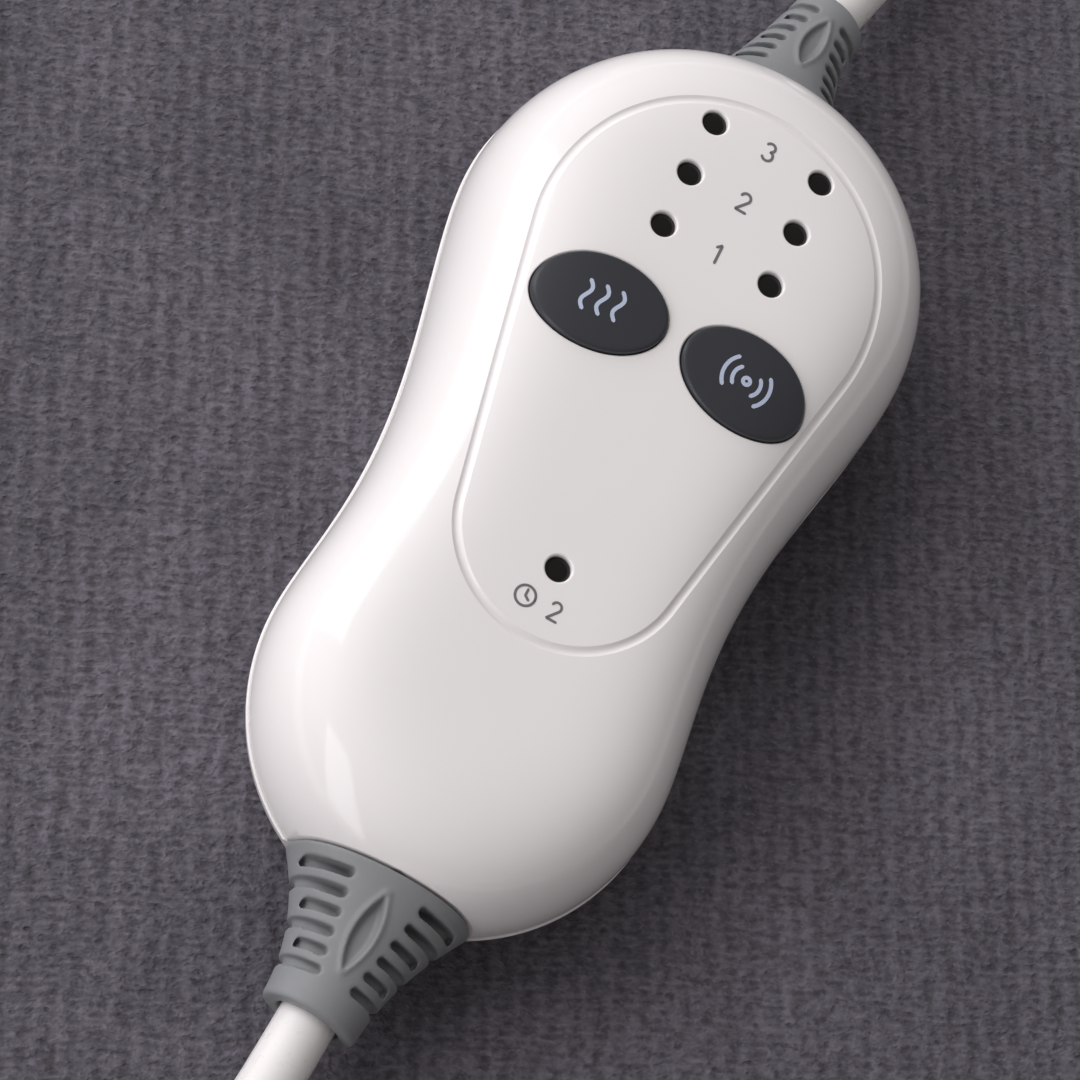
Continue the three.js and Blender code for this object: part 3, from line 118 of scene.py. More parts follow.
# How far the ink stands over the surface
MARK_LIFT = 0.035
# Height of the cords' axes over the controller's underside, and the gap round its openings for them
RELIEF_AXIS = 10.0
RELIEF_GAP = 0.3
# The slots of a strain relief, and the rim left outside every other one
SLOT_PITCH = 2.08
SLOT_WIDTH = 1.05
SLOT_RIM = 0.75
# The almond-shaped dish on top of a strain relief
DISH_HALF_LENGTH = 4.3
DISH_HALF_WIDTH = 1.15
# Size of the cells that a strain relief's skin is made of, in metres
SKIN_VOXEL = 0.00019


def linear(hex_value):
    """An sRGB colour written as #rrggbb, turned to linear red, green and blue."""
    value = np.array([int(hex_value[i:i + 2], 16) / 255 for i in (1, 3, 5)])
    bent = np.where(value <= 0.04045, value / 12.92, ((value + 0.055) / 1.055) ** 2.4)
    return tuple(float(v) for v in bent)


def length(name, description, default):
    return FloatProperty(
        name=name, description=description, default=default, min=0, unit="LENGTH", precision=5
    )


def degrees(name, description, default):
    return FloatProperty(name=name, description=description, default=math.radians(default), subtype="ANGLE")


def colour(name, description, hex_value):
    return FloatVectorProperty(
        name=name, description=description, default=linear(hex_value), size=3, min=0, max=1, subtype="COLOR"
    )


class PadSizes(bpy.types.PropertyGroup):
    width: length("Width", "Width of the pad between its long sides", 0.305)
    length: length("Length", "Length of the pad", 0.610)
    thickness: length("Thickness", "Height of the flat middle of the pad", 0.024)
    seam_height: length("Seam height", "Height of the seam between the two covers", 0.010)
    top_roll: length("Top roll", "How far in from the edge the upper cover turns over", 0.030)
    foot_roll: length("Foot roll", "How far in from the edge the lower cover turns under", 0.016)
    corner_radius: length("Corner radius", "Radius of the corners in plan", 0.028)
    draw_in: length("Draw-in", "How far the long sides pull in halfway along", 0.003)
    tuft: length("Tuft", "Distance between rows of tufts", 0.0010)
    wale: length("Wale", "Distance between the knitted wales", 0.00265)


class HousingSizes(bpy.types.PropertyGroup):
    lobe_spacing: length("Lobe spacing", "Distance between the middles of the two lobes", 0.0592)
    lamp_half_width: length("Lamp lobe half width", "Half the width of the lobe with the lamps", 0.0281)
    lamp_half_length: length("Lamp lobe half length", "Reach of that lobe past its middle", 0.027)
    cord_half_width: length("Cord lobe half width", "Half the width of the lower lobe", 0.024)
    cord_half_length: length("Cord lobe half length", "Reach of the lower lobe past its middle", 0.025)
    waist_fill: length("Waist fill", "How much fuller the waist is than a plain blend", 0.00113)
    parting_height: length("Parting height", "Height of the line between the two shells", 0.0095)
    ridge_height: length("Ridge height", "Height of the middle over the parting line", 0.0183)
    ridge_tilt: length("Ridge tilt", "How much higher the lamp end is than the middle", 0.00227)
    wall: length("Wall", "Thickness of the shells", 0.002)
    lift: length("Lift", "Height of the controller's underside over the floor", 0.0243)
    turn: degrees("Turn", "How the controller lies on the pad, clockwise", 25.47)
    edge_power: FloatProperty(
        name="Edge power", description="How square the shoulder is: 2 is an ellipse", default=4.9, min=2
    )


class ControlSizes(bpy.types.PropertyGroup):
    button_half_length: length("Button half length", "Half the long way across a button", 0.0079)
    button_half_width: length("Button half width", "Half the short way across a button", 0.0055)
    button_aside: length("Button aside", "Distance of each button from the middle line", 0.00913)
    button_along: length("Button along", "How far the buttons lie towards the lamps", 0.0134)
    button_tilt: degrees("Button tilt", "Turn of each oval", 6.9)
    button_proud: length("Button proud", "How far the buttons stand over the housing", 0.0006)
    button_gap: length("Button gap", "Clearance round each button", 0.0001)
    lamp_radius: length("Lamp hole radius", "Radius of each lamp hole", 0.00148)
    lamp_aside: length("Lamp aside", "Distance of the lamp columns from the middle line", 0.00688)
    lamp_top_row: length("Top lamp row", "Place of the top row of lamps", 0.0397)
    lamp_pitch: length("Lamp pitch", "Distance between lamp rows", 0.00714)
    timer_lamp: length("Timer lamp", "How far the timer lamp lies towards the mains cord", 0.0159)
    groove_half_width: length("Groove half width", "Half the width of the moulded groove", 0.0005)
    groove_depth: length("Groove depth", "Depth of the moulded groove", 0.00028)


class CordSizes(bpy.types.PropertyGroup):
    diameter: length("Diameter", "Diameter of both cords", 0.0066)
    pitch: length("Coil pitch", "Distance between turns side by side", 0.0072)
    rise: length("Coil rise", "Distance between layers of turns", 0.0071)
    coil_radius: length("Coil radius", "Radius at the middle of the turns", 0.0363)
    relief_length: length("Strain relief length", "Length of each strain relief", 0.0165)
    mains_root: length("Mains root", "Half the width of the mains strain relief at the housing", 0.0112)
    mains_collar: length("Mains collar", "Radius of that strain relief's round end", 0.0056)
    pad_root: length("Pad root", "Half the width of the pad cord's strain relief at the housing", 0.0092)
    pad_collar: length("Pad collar", "Radius of that strain relief's round end", 0.0048)


class FinishColours(bpy.types.PropertyGroup):
    plush: colour("Plush", "Pile of the covers", "#59555D")
    housing: colour("Housing", "Shells of the controller", "#E4DFE0")
    button: colour("Buttons", "Caps of both buttons", "#313238")
    relief: colour("Strain reliefs", "Soft mouldings at the cords", "#7F8083")
    cord: colour("Cords", "Sheath of both cords and the plug", "#DCD7D8")
    print: colour("Print", "Marks on the housing", "#6C6A6E")
    button_print: colour("Button print", "Marks on the buttons", "#AEB6CC")


def mm(value):
    return value * 1000.0


# Meshes

def new_object(name, data):
    made = bpy.data.objects.new(name, data)
    bpy.context.scene.collection.objects.link(made)
    return made


def mesh_object(name, points, quads, crease=35.0):
    """A mesh from points in metres and rows of four corner numbers. Points within two thousandths of a
    millimetre become one, which closes seams and poles, and edges sharper than the crease angle stay
    sharp."""
    data = bpy.data.meshes.new(name)
    data.vertices.add(len(points))
    data.vertices.foreach_set("co", np.asarray(points, np.float32).ravel())
    data.loops.add(quads.size)
    data.loops.foreach_set("vertex_index", quads.ravel().astype(np.int32))
    data.polygons.add(len(quads))
    data.polygons.foreach_set("loop_start", np.arange(len(quads), dtype=np.int32) * 4)
    data.update(calc_edges=True)
    work, merge = bmesh.new(), 2e-6
    work.from_mesh(data)
    bmesh.ops.remove_doubles(work, verts=work.verts, dist=merge)
    bmesh.ops.dissolve_degenerate(work, edges=work.edges, dist=merge)
    bmesh.ops.recalc_face_normals(work, faces=work.faces)
    work.to_mesh(data)
    work.free()
    smooth(data, crease)
    return new_object(name, data)


def smooth(data, crease):
    data.shade_smooth()
    data.set_sharp_from_angle(angle=math.radians(crease))


def ring_quads(rows, columns):
    """Corner numbers of the quads between rows of points that each close on themselves."""
    row = np.arange(rows - 1)[:, None] * columns
    here = np.arange(columns)[None, :]
    then = (here + 1) % columns
    return np.stack([row + here, row + then, row + columns + then, row + columns + here], -1).reshape(-1, 4)


def with_ends(rings):
    """The rings with one more at each end, where all points lie at the middle."""
    first, last = (np.broadcast_to(ring.mean(axis=0), ring.shape)[None] for ring in (rings[0], rings[-1]))
    return np.concatenate([first, rings, last])


def ring_object(name, rings, caps=True, crease=35.0):
    """A closed skin through rows of points in millimetres, drawn together at both ends by its caps."""
    rings = with_ends(np.asarray(rings)) if caps else rings
    rows, columns = rings.shape[:2]
    return mesh_object(name, rings.reshape(-1, 3) * 0.001, ring_quads(rows, columns), crease)


def bake(piece, crease=35.0):
    """Applies a piece's modifiers to its mesh."""
    graph = bpy.context.evaluated_depsgraph_get()
    data = bpy.data.meshes.new_from_object(piece.evaluated_get(graph))
    piece.modifiers.clear()
    piece.data = data
    smooth(data, crease)


def cut_away(piece, cutters, crease=35.0):
    """Takes the cutters' shapes out of a piece."""
    for cutter in cutters:
        change = piece.modifiers.new("cut", "BOOLEAN")
        change.operation = "DIFFERENCE"
        change.solver = "MANIFOLD"
        change.object = cutter
    bake(piece, crease)
    for cutter in cutters:
        bpy.data.objects.remove(cutter)


def full_turn(steps):
    return np.linspace(0, 2 * np.pi, steps, endpoint=False)


def raised(flat, height):
    """Flat points with a height each, or one height for all."""
    return np.column_stack([flat, np.broadcast_to(height, len(flat))])


def lathe_rings(profile, sides, centre, upright=False):
    """A profile of (radius, place along the axis) turned round y, or round z if it stands upright."""
    profile = np.asarray(profile, float)
    across, over = (profile[:, :1] * wave(full_turn(sides)) for wave in (np.cos, np.sin))
    along = np.broadcast_to(profile[:, 1:], across.shape)
    return np.stack((across, over, along) if upright else (across, along, over), -1) + np.asarray(centre)


def rounded(corner, radius, start, end, steps=5):
    """Points of a small arc round a corner's centre, as rows of two."""
    angle = np.radians(np.linspace(start, end, steps))
    return [(corner[0] + radius * math.cos(a), corner[1] + radius * math.sin(a)) for a in angle]


# The controller's form

class Housing:
    """The controller's surface in millimetres, in its own frame: x across, y towards the lamps, z up
    from its underside. Two elliptic lobes are joined by a waist that is a fifth-degree blend, and the
    height over the parting line falls to the outline as (1 - out ** power) ** 0.5."""

    def __init__(self, sizes):
        self.half = mm(sizes.lobe_spacing) / 2
        self.lamp = np.array([mm(sizes.lamp_half_width), mm(sizes.lamp_half_length)])
        self.cord = np.array([mm(sizes.cord_half_width), mm(sizes.cord_half_length)])
        self.fill, self.parting, self.wall = mm(sizes.waist_fill), mm(sizes.parting_height), mm(sizes.wall)
        self.ridge_height, self.ridge_tilt = mm(sizes.ridge_height), mm(sizes.ridge_tilt)
        self.lift, self.turn, self.power = mm(sizes.lift), sizes.turn, sizes.edge_power
        self.flat = math.cos(math.radians(14))

    def half_width(self, y, inset=0.0):
        span = 2 * self.half
        share = np.clip(y / span + 0.5, 0, 1)
        (lamp_w, lamp_l), (cord_w, cord_l) = self.lamp - inset, self.cord - inset
        cord_bend = -cord_w * (span / cord_l) ** 2
        lamp_bend = -lamp_w * (span / lamp_l) ** 2
        rise = lamp_w - cord_w
        cubic = 10 * rise + (lamp_bend - 3 * cord_bend) / 2
        quartic = -15 * rise + (3 * cord_bend - 2 * lamp_bend) / 2
        quintic = 6 * rise + (lamp_bend - cord_bend) / 2
        bump = 64 * (share * (1 - share)) ** 3
        blend = cubic * share ** 3 + quartic * share ** 4 + quintic * share ** 5
        return cord_w + cord_bend * share ** 2 / 2 + blend + self.fill * bump

    def out(self, x, y, inset=0.0):
        """How far out a place lies, from 0 on the spine to 1 on the outline."""
        lamp, cord = self.lamp - inset, self.cord - inset
        beyond = np.hypot(x / lamp[0], (y - self.half) / lamp[1])
        before = np.hypot(x / cord[0], (y + self.half) / cord[1])
        between = np.abs(x) / self.half_width(y, inset)
        return np.where(y > self.half, beyond, np.where(y < -self.half, before, between))

    def ridge(self, y, inset=0.0):
        share = y / (self.half + self.lamp[1])
        return self.ridge_height - inset + self.ridge_tilt * np.sin(share * np.pi / 2)

    def fall(self, out):
        return np.sqrt(np.clip(1 - np.minimum(out, 1) ** self.power, 0, 1))

    def top(self, x, y, inset=0.0):
        return self.parting + self.ridge(y, inset) * self.fall(self.out(x, y, inset))

    def top_at(self, flat, inset=0.0):
        return self.top(flat[..., 0], flat[..., 1], inset)

    def foot(self, x, y, inset=0.0):
        fall = np.minimum(self.fall(self.out(x, y, inset)) / self.flat, 1)
        return self.parting - (self.parting - inset) * fall

    def outline(self, inset=0.0, lobe_steps=44, waist_steps=56):
        """Rows of x, y and the place of the spine that each point is drawn towards."""
        (lamp_w, lamp_l), (cord_w, cord_l) = self.lamp - inset, self.cord - inset
        turn = np.linspace(0, np.pi / 2, lobe_steps + 1)
        sine, cosine, spine = np.sin(turn), np.cos(turn), np.full(turn.shape, self.half)
        far = np.stack([lamp_w * sine, self.half + lamp_l * cosine, spine], -1)
        y = np.linspace(self.half, -self.half, waist_steps + 1)[1:-1]
        waist = np.stack([self.half_width(y, inset), y, y], -1)
        near = np.stack([cord_w * cosine, -self.half - cord_l * sine, -spine], -1)
        right = np.concatenate([far, waist, near])
        return np.concatenate([right, right[1:-1][::-1] * np.array([-1, 1, 1])])

    def skin(self, inset, upper, start=90.0):
        """Rings from the parting line to the spine, closer together on the shoulder."""
        steep = np.sin(np.radians(np.linspace(start, 24, 26))) ** (2 / self.power)
        outs = np.concatenate([steep, np.linspace(steep[-1], 0, 16)[1:]])[:, None]
        ring = self.outline(inset)
        x = ring[:, 0] * outs
        y = ring[:, 2] + (ring[:, 1] - ring[:, 2]) * outs
        fall = self.fall(outs)
        if upper:
            z = self.parting + self.ridge(y, inset) * fall
        else:
            z = self.parting - (self.parting - inset) * np.minimum(fall / self.flat, 1) + 0 * y
        return np.stack([x, y, z], -1)

    def rim(self, inset, height):
        return raised(self.outline(inset)[:, :2], height)[None]

    def end(self, half_width, lamp_side):
        """Where the housing is cut off flat, as wide as the strain relief's root."""
        width, reach = self.lamp if lamp_side else self.cord
        place = self.half + reach * math.sqrt(1 - (half_width / width) ** 2)
        return place if lamp_side else -place

    def to_frame(self, points):
        """Points of the controller's own frame, in millimetres in the row frame."""
        c, s = math.cos(self.turn), math.sin(self.turn)
        x, y, z = np.moveaxis(np.asarray(points, float), -1, 0)
        return np.stack([c * x + s * y, c * y - s * x, z + self.lift], -1)

    def place(self, piece):
        """Moves a mesh made in the controller's own frame to where the controller lies."""
        raise_up, turn = Matrix.Translation((0, 0, self.lift * 0.001)), Matrix.Rotation(-self.turn, 4, "Z")
        piece.data.transform(raise_up @ turn)
        return piece


class Relief:
    """A strain relief in the controller's frame: its sizes, and its middle line, which leans over as
    share ** 2."""

    def __init__(self, housing, cords, name):
        lamp_side = name == "pad"
        self.side = 1 if lamp_side else -1
        self.length = mm(cords.relief_length)
        self.root = mm(cords.pad_root if lamp_side else cords.mains_root)
        self.collar = mm(cords.pad_collar if lamp_side else cords.mains_collar)
        self.lean, self.slot_first, self.lens_start = (2.0, 3.2, 4.4) if lamp_side else (-0.6, 2.0, 2.6)
        self.neck, self.flange = (3.9, 4.6) if lamp_side else (4.2, 5.4)
        self.end = housing.end(self.root, lamp_side)

    def at(self, share):
        share = np.asarray(share, float)
        along = RELIEF_GAP + (self.length - RELIEF_GAP) * share
        centre = np.stack([self.lean * share ** 2, self.end + self.side * along, RELIEF_AXIS + 0 * share], -1)
        heading = np.stack([2 * self.lean * share, self.side * self.length + 0 * share, 0 * share], -1)
        heading /= np.linalg.norm(heading, axis=-1, keepdims=True)
        across = np.stack([self.side * heading[..., 1], -self.side * heading[..., 0], 0 * share], -1)
        return centre, heading, across


# Cords

def curve_through(points, steps):
    """A smooth curve through points, by the centripetal Catmull-Rom formula: knots are spaced by the
    square root of the distance, and each span is a cubic with slopes from its neighbours."""
    p = np.asarray(points, float)
    p = np.concatenate([[2 * p[0] - p[1]], p, [2 * p[-1] - p[-2]]])
    gap = np.maximum(np.linalg.norm(np.diff(p, axis=0), axis=1) ** 0.5, 1e-4)[:, None]
    before, here, after = gap[:-2], gap[1:-1], gap[2:]
    p0, p1, p2, p3 = p[:-3], p[1:-2], p[2:-1], p[3:]
    slope1 = ((p1 - p0) / before - (p2 - p0) / (before + here) + (p2 - p1) / here) * here
    slope2 = ((p2 - p1) / here - (p3 - p1) / (here + after) + (p3 - p2) / after) * here
    t = np.linspace(0, 1, steps, endpoint=False)[None, :, None]
    p1, p2, slope1, slope2 = (v[:, None] for v in (p1, p2, slope1, slope2))
    square = 3 * (p2 - p1) - 2 * slope1 - slope2
    span = p1 + slope1 * t + square * t ** 2 + (2 * (p1 - p2) + slope1 + slope2) * t ** 3
    return np.concatenate([span.reshape(-1, 3), p[-2:-1]])


def even_spacing(points, step):
    """The same line with its points an even distance apart."""
    run = np.concatenate([[0], np.cumsum(np.linalg.norm(np.diff(points, axis=0), axis=1))])
    at = np.linspace(0, run[-1], max(int(run[-1] / step), 2) + 1)
    return np.stack([np.interp(at, run, values) for values in points.T], -1)


def coil_line(cords, rest, centre, start, turns, layers):
    """Turns that spiral in and out by layers, and climb a layer in each half turn between them, with a
    straight piece at each end, and the headings at both ends."""
    pitch, rise, middle, thick = (mm(v) for v in (cords.pitch, cords.rise, cords.coil_radius, cords.diameter))
    per_layer = (turns - (layers - 1) / 2) / layers
    band = per_layer * pitch
    turn = np.linspace(0, turns, int(turns * 96) + 1)
    layer = np.minimum(np.floor(turn / (per_layer + 0.5) + 1e-9), layers - 1)
    along = turn - layer * (per_layer + 0.5)
    spiral = np.minimum(along / per_layer, 1)
    climb = np.maximum(along - per_layer, 0) * 2
    inward = layer % 2 == 0
    bulge = np.sin(np.pi * climb) * np.where(inward, -1, 1)
    radius = middle + band / 2 - band * np.where(inward, spiral, 1 - spiral) + bulge
    angles = math.radians(start) + turn * 2 * np.pi
    height = rest + rise * (layer + climb ** 2 * (3 - 2 * climb))
    path = np.stack([centre[0] + radius * np.cos(angles), centre[1] + radius * np.sin(angles), height], -1)
    into, leave = (np.array([-math.sin(a), math.cos(a), 0.0]) for a in angles[[0, -1]])
    return np.concatenate([[path[0] - into * thick], path, [path[-1] + leave * thick]]), into, leave


def cord_curve(name, points, diameter):
    """A round cord along a line of points in millimetres, as a curve of one open spline."""
    path = even_spacing(points, 2.4)
    data = bpy.data.curves.new(name, "CURVE")
    data.dimensions = "3D"
    data.bevel_depth, data.bevel_resolution = diameter / 2, 6
    data.use_fill_caps = True
    spline = data.splines.new("POLY")
    spline.points.add(len(path) - 1)
    spline.points.foreach_set("co", raised(path * 0.001, 1.0).ravel())
    spline.use_smooth = True
    return new_object(name, data)


def straight(start, heading, distances):
    return [start + heading * d for d in distances]


def on_pad(points, rest):
    return [np.array([x, y, rest + lift]) for x, y, lift in points]


def cord_path(scene, name, near, coil, far, tail, steps):
    """Where a cord leaves its strain relief, and its whole line: from inside the relief, smoothly over
    the near points to the coil, round it, then smoothly over the far points and along the tail, whose
    last point is the end."""
    cords, housing = scene.cord_sizes, Housing(scene.housing_sizes)
    thick = mm(cords.diameter)
    rest = mm(scene.pad_sizes.thickness) + CORD_GAP + thick / 2
    centre, heading, _ = Relief(housing, cords, name).at(1.0)
    start = housing.to_frame(centre + heading * CORD_GAP)
    heading = housing.to_frame(centre + heading * (1 + CORD_GAP)) - start
    wound, into, leave = coil_line(cords, rest, *coil)
    first = curve_through([
        *straight(start, heading, [0, thick, 2 * thick]), *on_pad(near, rest),
        *straight(wound[0], into, [-thick - CORD_GAP, -CORD_GAP]),
    ], 12)
    last = curve_through([
        *straight(wound[-1], leave, [CORD_GAP, thick]), *on_pad(far, rest), *tail[:-1],
    ], steps)
    return start, np.concatenate([[start - heading * 2.0], first, wound, last, tail[-1:]])


# Finishes

def add_node(tree, kind, links=None, **settings):
    """One shader node. Settings are its own properties, or the values of its inputs: by name with _ for
    a space, or by number as i0, i1 and so on. Links join its inputs to sockets, or to the first output
    of a node."""
    node = tree.nodes.new("ShaderNode" + kind)
    for key, value in settings.items():
        if hasattr(node, key):
            setattr(node, key, value)
        else:
            numbered = key[0] == "i" and key[1:].isdigit()
            node.inputs[int(key[1:]) if numbered else key.replace("_", " ")].default_value = value
    for key, source in (links or {}).items():
        socket = source.outputs[0] if isinstance(source, bpy.types.Node) else source
        tree.links.new(socket, node.inputs[key])
    return node


def start_material(name):
    """An empty material, its node tree and its object coordinates."""
    made = bpy.data.materials.new(name)
    made.use_nodes = True
    made.node_tree.nodes.clear()
    return made, made.node_tree, add_node(made.node_tree, "TexCoord").outputs["Object"]


def end_material(made, tint, gloss, surface, **settings):
    """Joins colour, roughness and bumped normal to a Principled shader with the settings."""
    tree = made.node_tree
    links = {"Base Color": tint, "Roughness": gloss, "Normal": surface}
    shader = add_node(tree, "BsdfPrincipled", links, **settings)
    add_node(tree, "OutputMaterial", {"Surface": shader})
    return made


def shade(value, factor):
    return (*(min(1.0, v * factor) for v in value), 1.0)


def grained(name, value, broad, fine, light, gloss, depth, stretch=(1, 1, 1), turn=0.0, **settings):
    """A finish whose colour drifts over patches about broad millimetres across between the shares in
    light, and whose gloss and surface follow a grain about fine millimetres across, longer each way by
    the stretch. The gloss runs between two roughnesses, and the depth of the grain is in millimetres."""
    made, tree, place = start_material(name)
    drift = add_node(tree, "TexNoise", {"Vector": place}, Scale=1000 / broad, Detail=2.0)
    tint = add_node(
        tree, "Mix", {0: drift}, data_type="RGBA", i6=shade(value, light[0]), i7=shade(value, light[1])
    )
    scale = tuple(1000 / fine / s for s in stretch)
    laid = add_node(tree, "Mapping", {"Vector": place}, Scale=scale, Rotation=(0, 0, turn))
    grain = add_node(tree, "TexNoise", {"Vector": laid}, Scale=1.0, Detail=2.0)
    rough = add_node(
        tree, "MapRange", {0: grain}, From_Min=0.3, From_Max=0.7, To_Min=gloss[0], To_Max=gloss[1]
    )
    bump = add_node(tree, "Bump", {"Height": grain}, Strength=1.0, Distance=depth * 0.001)
    return end_material(made, tint.outputs[2], rough, bump, **settings)


def moulded_plastic(name, value, roughness, grain=0.35, depth=0.004):
    """Moulded plastic: an even colour, a surface as smooth as its mould, and faint unevenness in gloss."""
    return grained(name, value, 14, grain, (0.97, 1.015), (roughness * 0.9, roughness * 1.12), depth, IOR=1.5)


def plated_metal(name, hex_value, roughness, grain=0.25, stretch=(1, 14, 1)):
    """Plated or rolled metal: fine lines from rolling, and a patchy gloss."""
    gloss = (roughness * 0.8, roughness * 1.25)
    return grained(name, linear(hex_value), 3, grain, (0.86, 1.06), gloss, 0.004, stretch, Metallic=1.0)


def soft_pvc(colours, turn):
    """Soft moulded PVC: matte grey, with faint drag lines from its mould and a fine rubbed grain over
    them, a quarter of a millimetre across."""
    made, tree, place = start_material("soft_moulded_pvc_grey")
    value = colours.relief
    drift = add_node(tree, "TexNoise", {"Vector": place}, Scale=200.0, Detail=3.0)
    tint = add_node(tree, "Mix", {0: drift}, data_type="RGBA", i6=shade(value, 0.9), i7=shade(value, 1.07))
    grain = add_node(tree, "TexNoise", {"Vector": place}, Scale=4000.0, Detail=2.0)
    rough = add_node(tree, "MapRange", {0: grain}, From_Min=0.3, From_Max=0.7, To_Min=0.44, To_Max=0.58)
    laid = add_node(tree, "Mapping", {"Vector": place}, Scale=(3300, 280, 280), Rotation=(0, 0, turn))
    drag = add_node(tree, "TexNoise", {"Vector": laid}, Scale=1.0, Detail=1.0)
    lines = add_node(tree, "Bump", {"Height": drag}, Strength=1.0, Distance=0.000008)
    bump = add_node(tree, "Bump", {"Height": grain, "Normal": lines}, Strength=1.0, Distance=0.000012)
    return end_material(made, tint.outputs[2], rough, bump, IOR=1.5)


def plush_pile(colours, sizes):
    """Brushed short-pile polyester plush: tufts about a millimetre across in rows a millimetre apart, in
    knitted wales that show as faint lines along the pad, with pits between the tufts, and broad patches
    where the nap is brushed one way or the other. Light and shade are painted into the colour: the
    tufts' tops are painted lighter, the low parts and pits between them are painted with dark shade, and
    the fibre tips carry painted highlights."""
    made, tree, place = start_material("brushed_polyester_plush")
    value = colours.plush
    # The rows wander by about a millimetre, over patches 7 mm across
    wander = add_node(tree, "TexNoise", {"Vector": place}, Scale=143.0, Detail=2.0).outputs["Color"]
    centred = add_node(tree, "VectorMath", {0: wander}, i1=(0.5, 0.5, 0.5), operation="SUBTRACT")
    swung = add_node(
        tree, "VectorMath", {0: centred, 2: place}, i1=(0.0014, 0.0012, 0), operation="MULTIPLY_ADD"
    )
    clumps = add_node(tree, "Mapping", {"Vector": swung}, Scale=(940, 1120, 900))
    clump = add_node(tree, "TexNoise", {"Vector": clumps}, Scale=1.0, Detail=2.0, Roughness=0.45)
    fibres = add_node(tree, "Mapping", {"Vector": swung}, Scale=(1282, 1961, 1667), Rotation=(0, 0, 0.1))
    fibre = add_node(tree, "TexNoise", {"Vector": fibres}, Scale=1.0, Detail=1.0, Roughness=0.6)
    hollows = add_node(tree, "Mapping", {"Vector": swung}, Scale=(1080, 1480, 1100), Rotation=(0, 0, 0.08))
    hollow = add_node(tree, "TexNoise", {"Vector": hollows}, Scale=1.0, Detail=1.0)
    strokes = add_node(tree, "Mapping", {"Vector": place}, Scale=(42, 28, 42), Rotation=(0, 0, 0.5))
    nap = add_node(tree, "TexNoise", {"Vector": strokes}, Scale=1.0, Detail=3.0)
    row = add_node(
        tree, "TexWave", {"Vector": swung}, bands_direction="Y", Scale=314.16 / mm(sizes.tuft),
        Distortion=1.6, Detail=0.0, Detail_Scale=0.5,
    )
    wale = add_node(tree, "TexWave", {"Vector": swung}, bands_direction="X", Scale=314.16 / mm(sizes.wale))
    rows = add_node(tree, "Math", {0: row.outputs["Fac"], 2: clump}, i1=0.11, operation="MULTIPLY_ADD")
    wales = add_node(tree, "Math", {0: wale.outputs["Fac"], 2: rows}, i1=0.16, operation="MULTIPLY_ADD")
    pile = add_node(tree, "Math", {0: fibre, 2: wales}, i1=0.34, operation="MULTIPLY_ADD")
    # Painted light and shade: the pile's height also sets the colour, darker on the low parts between the
    # tufts and lighter on their tops
    height = add_node(tree, "MapRange", {0: pile}, From_Min=0.555, From_Max=1.06)
    # Painted shade: this mask sinks the pits by bump and also paints them darker, as shade would fall in them
    pit_depth_and_painted_shade = add_node(tree, "MapRange", {0: hollow}, From_Min=0.28, From_Max=0.46, To_Min=0.5, To_Max=0.0)
    # Painted highlights: the brightest fibres are painted nearly twice as light, as glints on their tips
    tip = add_node(tree, "MapRange", {0: fibre}, From_Min=0.6, From_Max=0.75, To_Max=0.35)
    brushed = add_node(tree, "MapRange", {0: nap}, From_Min=0.36, From_Max=0.66, To_Max=1.0)
    shadow, light = shade(value, 0.62), shade(value, 1.36)
    base = add_node(tree, "Mix", {0: height}, data_type="RGBA", i6=shadow, i7=light)
    patch = add_node(
        tree, "Mix", {0: brushed}, data_type="RGBA", i6=(0.86, 0.86, 0.86, 1), i7=(1.2, 1.2, 1.2, 1)
    )
    leaned = add_node(
        tree, "Mix", {6: base.outputs[2], 7: patch.outputs[2]},
        data_type="RGBA", blend_type="MULTIPLY", i0=1.0,
    )
    # Painted shade in the pits between the tufts
    pit_painted_shade = add_node(tree, "Mix", {0: pit_depth_and_painted_shade, 6: leaned.outputs[2]}, data_type="RGBA", i7=shade(value, 0.45))
    # Painted highlights on the fibre tips
    tips_painted_highlight = add_node(tree, "Mix", {0: tip, 6: pit_painted_shade.outputs[2]}, data_type="RGBA", i7=shade(value, 1.9))
    rough = add_node(tree, "MapRange", {0: clump}, From_Min=0.3, From_Max=0.7, To_Min=0.78, To_Max=0.95)
    tufts = add_node(tree, "Bump", {"Height": pile}, Strength=1.0, Distance=0.0003)
    bump = add_node(tree, "Bump", {"Height": pit_depth_and_painted_shade, "Normal": tufts}, Strength=1.0, Distance=-0.00016)
    return end_material(
        made, tips_painted_highlight.outputs[2], rough, bump,
        IOR=1.45, Sheen_Weight=0.25, Sheen_Roughness=0.4, Specular_IOR_Level=0.15,
    )


